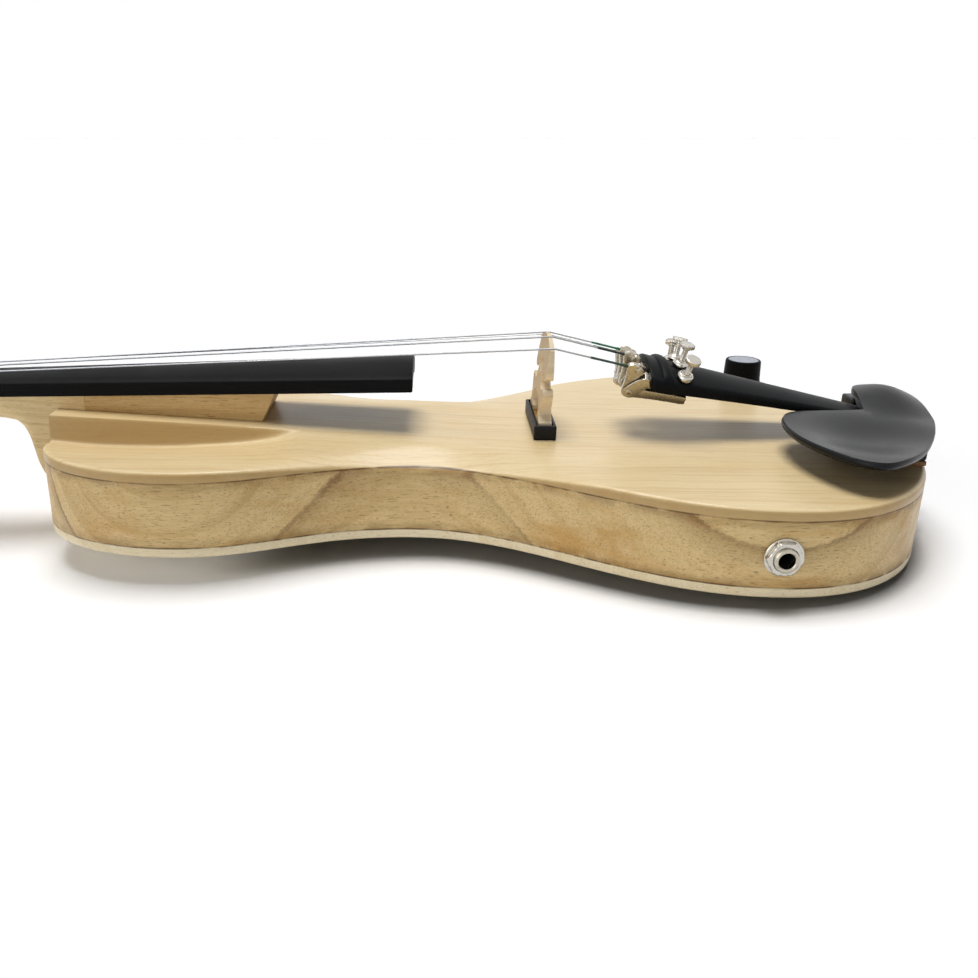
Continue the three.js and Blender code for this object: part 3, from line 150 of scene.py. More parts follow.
def smooth_line(points: list[Point], steps: int, closed: bool = False) -> list[Vector]:
    """Round curve through the given points.

    Args:
        points: Corners, in two or three dimensions.
        steps: Pieces between two corners.
        closed: Whether the last corner joins the first.

    Returns:
        Points of the curve, ending on the last corner when it is open.
    """
    knots = [Vector(p) for p in points]
    count = len(knots)
    line = []
    for i in range(count if closed else count - 1):
        if closed:
            a, b, c, d = (knots[(i + k) % count] for k in (-1, 0, 1, 2))
        else:
            a, b, c, d = (knots[max(0, min(count - 1, i + k))] for k in (-1, 0, 1, 2))
        for k in range(steps):
            t = k / steps
            line.append(0.5 * ((2 * b) + (c - a) * t + (2 * a - 5 * b + 4 * c - d) * t * t
                + (3 * b - a - 3 * c + d) * t ** 3))
    if not closed:
        line.append(knots[-1])
    return line


def rounded(points: list[Flat], radius: float, steps: int = 4, closed: bool = False) -> list[Flat]:
    """Line with its corners rounded.

    Args:
        points: Corners of the line.
        radius: How far from the corner the round starts, less where an edge is short.
        steps: Pieces of each round.
        closed: Whether the line closes on itself.

    Returns:
        The rounded line.
    """
    knots = [Vector(p) for p in points]
    count = len(knots)
    line: list[Flat] = []
    for i, corner in enumerate(knots):
        if not closed and i in (0, count - 1):
            line.append(tuple(corner))
            continue
        back = knots[i - 1] - corner
        ahead = knots[(i + 1) % count] - corner
        reach = min(radius, 0.45 * back.length, 0.45 * ahead.length)
        start = corner + back.normalized() * reach
        end = corner + ahead.normalized() * reach
        for k in range(steps + 1):
            t = k / steps
            line.append(tuple((1 - t) ** 2 * start + 2 * t * (1 - t) * corner + t * t * end))
    return line


def inset(points: list[Flat], distance: float) -> list[Flat]:
    """Closed outline, counter-clockwise, moved inward by a small distance."""
    count = len(points)
    moved = []
    for i, (x, y) in enumerate(points):
        ahead = Vector(points[(i + 1) % count]) - Vector(points[i - 1])
        if ahead.length < 1e-9:
            moved.append((x, y))
            continue
        ahead.normalize()
        moved.append((x - ahead.y * distance, y + ahead.x * distance))
    return moved


def turned(outline: list[Flat]) -> list[Flat]:
    """Closed outline, made counter-clockwise."""
    area = sum(a[0] * b[1] - b[0] * a[1] for a, b in zip(outline, outline[1:] + outline[:1]))
    return outline[::-1] if area < 0 else outline


@dataclass
class Form:
    """A mesh in millimetres, as corners and faces, before it becomes a piece."""

    points: list[Vector] = field(default_factory=list)
    faces: list[tuple[int, ...]] = field(default_factory=list)

    def moved(self, matrix: Matrix) -> "Form":
        """The form turned and shifted."""
        return Form([matrix @ p for p in self.points], list(self.faces))

    def shifted(self, x: float = 0, y: float = 0, z: float = 0) -> "Form":
        """The form shifted."""
        return self.moved(Matrix.Translation((x, y, z)))

    def spun(self, axis: str, degrees: float) -> "Form":
        """The form turned about an axis through the origin."""
        return self.moved(Matrix.Rotation(radians(degrees), 4, axis))

    def added(self, *others: "Form") -> "Form":
        """This form and others in one mesh."""
        points, faces = list(self.points), list(self.faces)
        for other in others:
            base = len(points)
            points += other.points
            faces += [tuple(base + i for i in face) for face in other.faces]
        return Form(points, faces)

    def piece(self, name: str, sharp: float = 32.0) -> Piece:
        """Makes the Blender object, with clean outward faces and smooth rounds.

        Args:
            name: Name of the object.
            sharp: Angle in degrees above which an edge stays crisp.

        Returns:
            The object, in metres.
        """
        mesh = bpy.data.meshes.new(name)
        mesh.from_pydata([tuple(c * MM for c in p) for p in self.points], [], self.faces)
        tidy_mesh(mesh, sharp)
        obj = bpy.data.objects.new(name, mesh)
        bpy.context.scene.collection.objects.link(obj)
        return obj


def tidy_mesh(mesh: bpy.types.Mesh, sharp: float) -> None:
    """Welds, turns outward and smooths a mesh.

    Args:
        mesh: The mesh, in metres.
        sharp: Angle in degrees above which an edge stays crisp.
    """
    work = bmesh.new()
    work.from_mesh(mesh)
    bmesh.ops.remove_doubles(work, verts=work.verts, dist=1e-6)
    bmesh.ops.dissolve_degenerate(work, edges=work.edges, dist=1e-7)
    bmesh.ops.recalc_face_normals(work, faces=work.faces)
    work.to_mesh(mesh)
    work.free()
    mesh.polygons.foreach_set("use_smooth", [True] * len(mesh.polygons))
    mesh.set_sharp_from_angle(angle=radians(sharp))


def loft(rings: list[list[Point]], capped: bool = True) -> Form:
    """Skin through rings of equal count, closed around, with flat ends when capped."""
    count = len(rings[0])
    points = [Vector(p) for ring in rings for p in ring]
    faces = []
    for r in range(len(rings) - 1):
        for i in range(count):
            a, b = r * count + i, r * count + (i + 1) % count
            faces.append((a, b, b + count, a + count))
    if capped:
        faces.append(tuple(range(count)))
        faces.append(tuple((len(rings) - 1) * count + i for i in range(count)))
    return Form(points, faces)


def circle(far: float | Callable[[float], float], height: float, sides: int) -> list[Point]:
    """Ring about Z whose radius is one value or follows the angle."""
    ring = []
    for i in range(sides):
        angle = FULL_TURN * i / sides
        radius = far(angle) if callable(far) else far
        ring.append((radius * cos(angle), radius * sin(angle), height))
    return ring


def lathe(profile: list[Flat], sides: int = 64) -> Form:
    """Round form about Z from radius and height pairs; ends on the axis close it."""
    return loft([circle(radius, height, sides) for radius, height in profile], capped=False)


def rod(radius: float, low: float, high: float, edge: float = 0.0, sides: int = 48) -> Form:
    """Cylinder about Z with softly rounded ends."""
    profile = [(0, low), (radius, low), (radius, high), (0, high)]
    return lathe(rounded(profile, edge) if edge else profile, sides)


def prism(outline: list[Flat], low: float, high: float, edge: float = 0.0) -> Form:
    """Plate standing on Z from a counter-clockwise outline, its rims rounded by edge."""
    if not edge:
        return loft([[(x, y, z) for x, y in outline] for z in (low, high)])
    turns = spread(0, pi / 2, 4)
    rounds = [(edge * (1 - sin(t)), edge * (1 - cos(t))) for t in turns]
    levels = [(inward, low + drop) for inward, drop in rounds]
    levels += [(inward, high - drop) for inward, drop in reversed(rounds)]
    return loft([[(x, y, z) for x, y in inset(outline, inward)] for inward, z in levels])


def block(low: Point, high: Point, edge: float = 0.4) -> Form:
    """Box with rounded edges all round, or with sharp ones when edge is 0."""
    corners = [(low[0], low[1]), (high[0], low[1]), (high[0], high[1]), (low[0], high[1])]
    if not edge:
        return prism(corners, low[2], high[2])
    return prism(rounded(corners, edge, closed=True), low[2], high[2],
        min(0.7 * edge, 0.4 * (high[2] - low[2])))


def tube(points: list[Point], radius: float | list[float], sides: int = 12) -> Form:
    """Closed round tube along a line.

    Args:
        points: The line.
        radius: One radius, or one for each point.
        sides: Sides of the section.

    Returns:
        The tube.
    """
    line = [Vector(p) for p in points]
    radii = radius if isinstance(radius, list) else [radius] * len(line)
    side = None
    rings = []
    for i, place in enumerate(line):
        ahead = (line[min(i + 1, len(line) - 1)] - line[max(i - 1, 0)]).normalized()
        if side is None:
            side = ahead.cross(Vector((0, 0, 1)) if abs(ahead.z) < 0.9 else Vector((1, 0, 0)))
        side = (side - ahead * side.dot(ahead)).normalized()
        up = ahead.cross(side)
        rings.append([place + radii[i] * (side * cos(FULL_TURN * k / sides)
            + up * sin(FULL_TURN * k / sides)) for k in range(sides)])
    return loft(rings)


def bake_modifiers(piece: Piece) -> None:
    """Turns a piece's modifiers into its mesh."""
    bpy.context.view_layer.update()
    graph = bpy.context.evaluated_depsgraph_get()
    mesh = bpy.data.meshes.new_from_object(piece.evaluated_get(graph))
    piece.modifiers.clear()
    piece.data = mesh


def combine(piece: Piece, others: list[Form], operation: str, sharp: float = 32.0) -> None:
    """Joins forms to a piece, or cuts them from it, one after the other.

    Args:
        piece: The piece that changes.
        others: Closed forms.
        operation: UNION or DIFFERENCE.
        sharp: Angle in degrees above which an edge stays crisp.
    """
    for i, other in enumerate(others):
        tool = other.piece(f"{piece.name}_tool_{i}")
        modifier = piece.modifiers.new("combine", "BOOLEAN")
        modifier.operation = operation
        modifier.solver = "MANIFOLD"
        modifier.object = tool
        bake_modifiers(piece)
        bpy.data.objects.remove(tool)
    tidy_mesh(piece.data, sharp)


class Tree:
    """A material's node tree, with short calls for the nodes that the finishes share."""

    def __init__(self, name: str) -> None:
        """Starts an empty material of that name."""
        self.material = bpy.data.materials.new(name)
        self.material.use_nodes = True
        self.nodes = self.material.node_tree.nodes
        self.links = self.material.node_tree.links
        self.nodes.clear()

    def node(self, kind: str, inputs: dict | None = None, **settings: object) -> bpy.types.Node:
        """Adds a node.

        Args:
            kind: Node type.
            inputs: Socket name or number to a value or to the socket that feeds it.
            settings: Attributes of the node.

        Returns:
            The node.
        """
        made = self.nodes.new(kind)
        for key, value in settings.items():
            setattr(made, key, value)
        for key, value in (inputs or {}).items():
            if isinstance(value, bpy.types.NodeSocket):
                self.links.new(value, made.inputs[key])
            else:
                made.inputs[key].default_value = value
        return made

    def place(self, stretch: Point = (1, 1, 1)) -> Socket:
        """Place on the piece in millimetres, each axis multiplied by its stretch."""
        coordinates = self.node("ShaderNodeTexCoord").outputs["Object"]
        scale = [s / MM for s in stretch]
        return self.node("ShaderNodeVectorMath", {0: coordinates, 1: scale},
            operation="MULTIPLY").outputs[0]

    def axes(self, vector: Socket) -> list[Socket]:
        """The three parts of a vector."""
        return list(self.node("ShaderNodeSeparateXYZ", {0: vector}).outputs)

    def noise(self, vector: Socket | Point, detail: float = 4, roughness: float = 0.55) -> Socket:
        """Cloudy value from 0 to 1, one cloud for each unit of the vector or of the stretched place."""
        if isinstance(vector, tuple):
            vector = self.place(vector)
        return self.node("ShaderNodeTexNoise", {"Vector": vector, "Scale": 1.0, "Detail": detail,
            "Roughness": roughness}).outputs[0]

    def cells(self, vector: Socket) -> Socket:
        """Distance to the nearest of scattered points, one for each unit cube of the vector."""
        return self.node("ShaderNodeTexVoronoi", {"Vector": vector, "Scale": 1.0,
            "Randomness": 1.0}).outputs["Distance"]

    def math(self, operation: str, *values: Socket | float, limit: bool = False) -> Socket:
        """One sum on values or sockets."""
        return self.node("ShaderNodeMath", dict(enumerate(values)), operation=operation,
            use_clamp=limit).outputs[0]

    def times(self, *values: Socket | float, limit: bool = False) -> Socket:
        """Product of two values."""
        return self.math("MULTIPLY", *values, limit=limit)

    def plus(self, *values: Socket | float) -> Socket:
        """Sum of two values."""
        return self.math("ADD", *values)

    def less(self, *values: Socket | float) -> Socket:
        """First value without the second."""
        return self.math("SUBTRACT", *values)

    def span(self, value: Socket, low: float, high: float, start: float = 0, end: float = 1) -> Socket:
        """Value between low and high spread smoothly from start to end, held outside."""
        return self.node("ShaderNodeMapRange", {"Value": value, "From Min": low, "From Max": high,
            "To Min": start, "To Max": end}, interpolation_type="SMOOTHSTEP").outputs[0]

    def blend(self, share: Socket | float, a: Socket | Colour, b: Socket | Colour) -> Socket:
        """Colour between a and b."""
        return self.node("ShaderNodeMix", {0: share, 6: a, 7: b}, data_type="RGBA",
            blend_type="MIX").outputs[2]

    def tint(self, colour: Socket | Colour, share: Socket, code: str) -> Socket:
        """Colour with a share of a coded colour over it."""
        return self.blend(share, colour, paint(code))

    def bump(self, height: Socket, strength: float, depth: float) -> Socket:
        """Surface normal from a height; depth in millimetres."""
        return self.node("ShaderNodeBump", {"Height": height, "Strength": strength,
            "Distance": depth * MM}).outputs[0]

    def close(self, inputs: dict) -> bpy.types.Material:
        """Ends the material in one shader with the given sockets."""
        shader = self.node("ShaderNodeBsdfPrincipled", inputs)
        self.node("ShaderNodeOutputMaterial", {"Surface": shader.outputs[0]})
        return self.material


FLASH, PORE = "ffefc9", "8a6638"
DARK_RING, END_GRAIN = "80592b", "a98550"


@dataclass(frozen=True)
class Wood:
    """Lacquered wood, solid through the piece.

    The year rings are ring wide round a heart at (across, up); bold is the radius of the first dark ring and
    the distance to the next. steep_shade is painted shade, laid by the share steep_shade_share over the
    sloped faces, where less of the light from above falls.
    seams are the heights of the dark glue lines, with a brown stain beside them.
    """

    name: str
    slot: str
    pale: str = "e9cf9b"
    late: str = "c9a468"
    warm: str = "d9b06c"
    steep_shade: str = "ad8c4c"
    ring: float = 5.0
    heart: Flat = (0.0, -260.0)
    lean: float = 0.02
    wander: float = 12.0
    bold: Flat = (0.0, 0.0)
    ring_depth: float = 0.5
    cloud: float = 0.5
    dash: float = 0.5
    steep_shade_share: float = 0.0
    stain: float = 0.0
    roughness: float = 0.42
    coat: float = 0.15
    seams: tuple[float, ...] = ()

    def material(self) -> bpy.types.Material:
        """Builds the finish."""
        tree = Tree(self.name)
        x, y, z = tree.axes(tree.place())
        reach = self.reach(tree, x, y, z)
        rings = tree.node("ShaderNodeCombineXYZ", {0: tree.math("DIVIDE", reach, 1.4 * self.ring),
            1: tree.times(x, 0.006)}).outputs[0]
        bands = tree.noise(rings, 4, 0.65)
        ring = tree.math("FRACT", tree.math("DIVIDE", reach, self.ring))
        line = tree.times(tree.times(tree.span(ring, 0.35, 0.93), tree.span(ring, 1.0, 0.95)),
            tree.span(bands, 0.35, 0.65))
        fibre = tree.noise((0.03, 1.3, 1.3), 6, 0.62)
        fine = tree.noise((0.12, 4.2, 4.2), 3, 0.6)
        cloud = tree.noise((0.011, 0.045, 0.06), 4, 0.6)
        colour = tree.tint(paint(self.pale), tree.times(tree.span(bands, 0.42, 0.68),
            0.7 * self.ring_depth), self.late)
        colour = tree.tint(colour, tree.times(line, self.ring_depth), self.late)
        colour = tree.tint(colour, tree.times(tree.span(cloud, 0.45, 0.7), self.cloud), self.warm)
        colour = tree.tint(colour, tree.times(tree.span(fibre, 0.4, 0.72), 0.9 * self.ring_depth),
            self.late)
        colour = tree.tint(colour, tree.times(tree.span(fine, 0.5, 0.8), 0.2), FLASH)
        normal = [tree.math("ABSOLUTE", part)
            for part in tree.axes(tree.node("ShaderNodeNewGeometry").outputs["Normal"])]
        # Painted shade: the more a face leans from level, the darker it is tinted, standing in for the light
        # that misses it.
        colour = tree.tint(colour, tree.times(tree.span(normal[2], 0.82, 0.35), self.steep_shade_share), self.steep_shade)
        bold = self.bold_ring(tree, reach)
        colour = tree.tint(colour, bold, DARK_RING)
        dashes = tree.span(tree.noise((0.16, 2.4, 2.4), 2, 0.5), 0.6, 0.68)
        specks = tree.span(tree.noise((0.8, 1.7, 1.7), 2, 0.5), 0.6, 0.68)
        marks = tree.math("MAXIMUM", dashes, tree.times(specks, tree.plus(0.45, bold)))
        marks = tree.times(marks, self.dash, limit=True)
        colour = self.glue_lines(tree, z, tree.tint(colour, marks, PORE))
        colour = tree.tint(colour, tree.span(normal[0], 0.82, 1.0, 0, 0.45), END_GRAIN)
        gloss = tree.span(fibre, 0.2, 0.8, self.roughness - 0.05, self.roughness + 0.09)
        relief = tree.less(tree.times(fibre, 0.35), marks)
        return tree.close({"Base Color": colour, "Roughness": gloss, "Coat Weight": self.coat,
            "Coat Roughness": 0.27, "Specular IOR Level": 0.2, "Normal": tree.bump(relief, 0.25, 0.1)})

    def reach(self, tree: Tree, x: Socket, y: Socket, z: Socket) -> Socket:
        """Distance from the tree's heart, which the rings follow, with a slow wander.

        Args:
            tree: The tree that the nodes go into.
            x, y, z: Places along and across the board, and height.

        Returns:
            The distance as a socket, in millimetres.
        """
        drift = tree.times(tree.less(tree.noise((0.008, 0.02, 0.02), 3), 0.5), self.wander)
        across = tree.plus(tree.less(y, self.heart[0]), drift)
        up = tree.plus(tree.less(z, self.heart[1]), tree.times(x, self.lean))
        return tree.math("SQRT", tree.plus(tree.times(across, across), tree.times(up, up)))

    def bold_ring(self, tree: Tree, reach: Socket) -> Socket:
        """Share of the bold rings: crisp on the side of the heart, ragged on the other.

        Args:
            tree: The tree that the nodes go into.
            reach: Distance from the heart.

        Returns:
            The share as a socket.
        """
        first, apart = self.bold
        if not apart:
            return tree.times(reach, 0.0)
        ragged = tree.times(tree.noise((0.3, 0.6, 0.6), 4, 0.7), 2.4)
        past = tree.math("FRACT", tree.math("DIVIDE", tree.less(tree.plus(reach, ragged), first), apart))
        away = tree.times(past, apart)
        band = tree.math("MAXIMUM", tree.span(away, 2.6, 0.8), tree.span(away, 8.0, 1.0, 0, 0.5))
        band = tree.times(band, tree.span(away, 0.0, 0.9))
        return tree.times(band, tree.span(tree.noise((0.02, 0.03, 0.03), 2), 0.35, 0.6, 0.3, 0.8))

    def glue_lines(self, tree: Tree, z: Socket, colour: Socket) -> Socket:
        """Adds the thin brown glue lines and the stain beside them.

        Args:
            tree: The tree that the nodes go into.
            z: Height.
            colour: Colour of the wood.

        Returns:
            The new colour as a socket.
        """
        for seam in self.seams:
            away = tree.math("ABSOLUTE", tree.less(z, seam))
            broken = tree.span(tree.noise((0.05, 0.3, 0.3), 4), 0.35, 0.6, 0.3, 1.0)
            colour = tree.tint(colour, tree.times(tree.span(away, 5.0, 0.0),
                tree.times(broken, self.stain)), "8f6a34")
            colour = tree.tint(colour, tree.times(tree.span(away, 0.5, 0.1), broken), "6b4a22")
        return colour


@dataclass(frozen=True)
class Dark:
    """Dark stained wood or moulded plastic with a fine tooth.

    stretch is the grain in grains for each millimetre, spread the change of gloss over the surface, relief
    the strength of the tooth and shine that of the reflections.
    """

    name: str
    slot: str
    base: str = "1d1d1e"
    lift: str = "2d2c2c"
    stretch: Point = (0.5, 0.5, 0.5)
    roughness: float = 0.45
    spread: float = 0.08
    relief: float = 0.12
    coat: float = 0.0
    shine: float = 0.2

    def material(self) -> bpy.types.Material:
        """Builds the finish."""
        tree = Tree(self.name)
        grain = tree.noise(self.stretch, 6, 0.6)
        tooth = tree.noise((5, 5, 5), 3, 0.6)
        cloud = tree.noise((0.03, 0.03, 0.03), 3)
        colour = tree.blend(tree.span(grain, 0.35, 0.75), paint(self.base), paint(self.lift))
        colour = tree.tint(colour, tree.span(tooth, 0.62, 0.8, 0, 0.35), self.lift)
        gloss = tree.plus(tree.span(cloud, 0.3, 0.7, -self.spread, self.spread),
            tree.span(grain, 0.3, 0.7, self.roughness - self.spread / 2, self.roughness + self.spread / 2))
        height = tree.plus(tree.times(grain, 0.6), tree.times(tooth, 0.4))
        return tree.close({"Base Color": colour, "Roughness": gloss, "Coat Weight": self.coat,
            "Coat Roughness": 0.35, "Specular IOR Level": self.shine,
            "Normal": tree.bump(height, self.relief, 0.08)})


@dataclass(frozen=True)
class Metal:
    """Plated or bare metal with duller clouds and strokes, so many for each millimetre."""

    name: str
    slot: str
    base: str = "d8d5cd"
    tarnish: str = "a39c8c"
    roughness: float = 0.16
    brushed: Point = (0.6, 3.0, 3.0)
    relief: float = 0.05

    def material(self) -> bpy.types.Material:
        """Builds the finish."""
        tree = Tree(self.name)
        cloud = tree.noise((0.35, 0.35, 0.35), 5, 0.6)
        stroke = tree.noise(self.brushed, 4, 0.6)
        colour = tree.blend(tree.span(cloud, 0.5, 0.8, 0, 0.7), paint(self.base), paint(self.tarnish))
        gloss = tree.plus(tree.span(cloud, 0.35, 0.75, self.roughness, self.roughness + 0.16),
            tree.span(stroke, 0.3, 0.7, -0.03, 0.05))
        return tree.close({"Base Color": colour, "Metallic": 1.0, "Roughness": gloss,
            "Normal": tree.bump(stroke, self.relief, 0.05)})


@dataclass(frozen=True)
class Wound:
    """Thread or ribbon of one pitch, wound tightly round a straight core that runs near X."""

    name: str
    slot: str
    base: str
    # Colour deep between the turns: painted shade there, and also the colour of the random flecks.
    groove: str
    pitch: float = 0.3
    metallic: float = 1.0
    roughness: float = 0.3
    fleck: float = 0.2

    def material(self) -> bpy.types.Material:
        """Builds the finish."""
        tree = Tree(self.name)
        x, y, _ = tree.axes(tree.place())
        turn = tree.math("FRACT", tree.math("DIVIDE", tree.plus(x, tree.times(y, 0.4)), self.pitch))
        round_top = tree.math("SINE", tree.times(turn, pi))
        fleck = tree.noise((0.8, 2.0, 2.0), 4, 0.6)
        # Painted shade: the colour darkens into the grooves between the turns, following the shape of each
        # turn.
        colour = tree.blend(tree.span(round_top, 0.0, 0.55), paint(self.groove), paint(self.base))
        colour = tree.tint(colour, tree.span(fleck, 0.5, 0.8, 0, self.fleck), self.groove)
        gloss = tree.span(fleck, 0.3, 0.7, self.roughness - 0.05, self.roughness + 0.1)
        return tree.close({"Base Color": colour, "Metallic": self.metallic, "Roughness": gloss,
            "Normal": tree.bump(round_top, 0.5, 0.06)})


@dataclass(frozen=True)
class Cork:
    """Raw cork sheet with pits."""

    name: str = "raw_cork"
    slot: str = "cork"
    base: str = "94714a"
    pit: str = "4a3320"

    def material(self) -> bpy.types.Material:
        """Builds the finish."""
        tree = Tree(self.name)
        cell = tree.cells(tree.place((1.6, 1.6, 1.6)))
        cloud = tree.noise((0.9, 0.9, 0.9), 5, 0.65)
        colour = tree.blend(tree.span(cloud, 0.35, 0.75), paint(self.base), paint("7a5836"))
        colour = tree.tint(colour, tree.span(cell, 0.22, 0.05, 0, 0.8), self.pit)
        height = tree.times(cell, cloud)
        return tree.close({"Base Color": colour, "Roughness": tree.span(cloud, 0.3, 0.7, 0.8, 0.95),
            "Normal": tree.bump(height, 0.6, 0.25)})


class Finish(Enum):
    """Every finish of the instrument: its name, the record's slot and its look."""

    TOP = Wood("top_board_wood", "top_wood", pale="efd8a9", late="d0ab70", warm="e8c98c", steep_shade="b58f4c",
        ring=4.2, heart=(-420, 20), lean=0.028, wander=18, ring_depth=0.33, cloud=0.45, dash=0.16, steep_shade_share=0.7,
        roughness=0.38, coat=0.35, seams=(31.5,))
    RIB = Wood("core_board_wood", "rib_wood", pale="edd094", late="bf9552", warm="cd9a49", ring=6.5,
        heart=(-205, 84), lean=-0.05, wander=5, bold=(122, 38.4), ring_depth=0.4, cloud=0.8, dash=0.65,
        stain=0.6, roughness=0.4, coat=0.3, seams=(31.5, 4.3))
    BACK = Wood("back_board_wood", "back_wood", pale="fff1cd", late="ebd2a0", warm="f2dba9", ring=5.0,
        heart=(-300, 30), ring_depth=0.4, cloud=0.4, dash=0.3, roughness=0.42, coat=0.3, seams=(4.3,))
    NECK = Wood("neck_maple", "neck_wood", pale="eed6a4", late="cfae74", warm="dcb778", ring=3.2,
        heart=(40, -190), lean=0.05, ring_depth=0.4, cloud=0.4, dash=0.35, roughness=0.5, coat=0.1)
    RISER = Wood("riser_wood", "top_wood", pale="e2c48c", late="b8935c", warm="c9a266", ring=3.4,
        heart=(-160, -60), lean=0.06, ring_depth=0.5, cloud=0.5, dash=0.6, roughness=0.45, coat=0.15)
    BRIDGE = Wood("bridge_maple", "bridge_wood", pale="f3e2c3", late="d9bd92", warm="ead2a8", ring=1.1,
        heart=(160, 60), lean=0.0, wander=3, ring_depth=0.35, cloud=0.2, dash=0.35, roughness=0.58,
        coat=0.0)
    BOARD = Dark("fingerboard_black", "ebony", base="121213", lift="1b1b1c", stretch=(0.06, 2.2, 2.2),
        roughness=0.46, spread=0.05, relief=0.1, shine=0.04)
    EBONY = Dark("turned_ebony", "ebony", base="161514", lift="272320", stretch=(1.6, 0.15, 1.6),
        roughness=0.34, spread=0.06, relief=0.06, coat=0.1, shine=0.3)
    PLASTIC = Dark("satin_black_plastic", "black_plastic", base="101112", lift="17181a",
        stretch=(0.9, 0.9, 0.9), roughness=0.42, spread=0.04, relief=0.05, shine=0.05)
    CUP = Dark("satin_cup_plastic", "black_plastic", base="0c0d0f", lift="131417", stretch=(0.9, 0.9, 0.9),
        roughness=0.31, spread=0.04, relief=0.05, shine=0.17)
    TRAY = Dark("tray_black_plastic", "black_plastic", base="0f0f10", lift="1d1d1e",
        stretch=(0.9, 0.9, 0.9), roughness=0.5, spread=0.05, relief=0.06, shine=0.18)
    KNOB = Dark("knob_black_plastic", "knob_black", base="0e0e0f", lift="161617", stretch=(1.2, 1.2, 1.2),
        roughness=0.46, spread=0.04, relief=0.04, shine=0.04)
    GUT = Dark("tailgut_black", "gut", base="141415", lift="222223", stretch=(1.5, 4, 4), roughness=0.4,
        relief=0.1)
    LEAD = Dark("lead_rubber", "lead", base="202022", lift="2e2e30", stretch=(1, 1, 1), roughness=0.7)
    PIEZO = Metal("piezo_brass", "piezo", base="b08a4a", tarnish="6f5527", roughness=0.4)
    NICKEL = Metal("bright_nickel", "nickel", base="c6c2b9", tarnish="827b6e", roughness=0.14)
    NICKEL_WARM = Metal("warm_nickel", "nickel", base="b9b2a3", tarnish="746a59", roughness=0.18)
    STEEL = Metal("turned_steel", "steel", base="c3c6ca", tarnish="8b8e92", roughness=0.26, relief=0.1)
    INSERT = Metal("knob_insert_alloy", "steel", base="9a9ea8", tarnish="797e89", roughness=0.34,
        brushed=(0.4, 5.0, 0.4), relief=0.2)
    # Painted shade: near-black finish for the sleeve inside the jack's socket, where only shade is seen.
    SHADE = Dark("socket_painted_shade", "nickel", base="070707", lift="0d0d0d", roughness=0.7)
    WINDING = Wound("string_ribbon", "string_steel", "a6a8ab", "6c6f73", pitch=0.28, roughness=0.3)
    PLAIN = Metal("string_plain_steel", "string_steel", base="a9abae", tarnish="7d7f82", roughness=0.2,
        brushed=(0.2, 6, 6))
    SILK_GREEN = Wound("silk_green", "string_steel", "1f7a55", "0c3022", pitch=0.24, metallic=0,
        roughness=0.6, fleck=0.4)
    SILK_DARK = Wound("silk_dark_green", "string_steel", "23402f", "0f1a14", pitch=0.24, metallic=0,
        roughness=0.6, fleck=0.4)
    SILK_BLACK = Wound("silk_black", "string_steel", "1b1c1e", "0b0b0c", pitch=0.24, metallic=0,
        roughness=0.6, fleck=0.3)
    CORK = Cork()

    def material(self) -> bpy.types.Material:
        """The finish's material, built once."""
        found = bpy.data.materials.get(self.value.name)
        return found if found else self.value.material()


class SubAssembly:
    """Steps that every sub-assembly shares."""

    def dress(self, piece: Piece, finish: Finish, node: str = "", body: str = "root") -> None:
        """Gives a piece its finish, hides the CAD node that it stands for and hangs it on the body that it
        rides on.

        Args:
            piece: The piece.
            finish: Its finish.
            node: CAD node that it replaces, if any.
            body: The body that it rides on.
        """
        self.coat(piece, finish)
        if node:
            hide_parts(node)
        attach(piece, body)

    def coat(self, piece: Piece, finish: Finish) -> None:
        """Gives a piece its finish only."""
        piece.data.materials.clear()
        piece.data.materials.append(finish.material())
        log.info("%s: %s", piece.name, finish.value.name)

    def carry(self, node: str, finish: Finish) -> None:
        """Gives a CAD node that stays its finish."""
        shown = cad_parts[node]
        shown.data.materials.clear()
        shown.data.materials.append(finish.material())
        log.info("%s carried over: %s", node, finish.value.name)


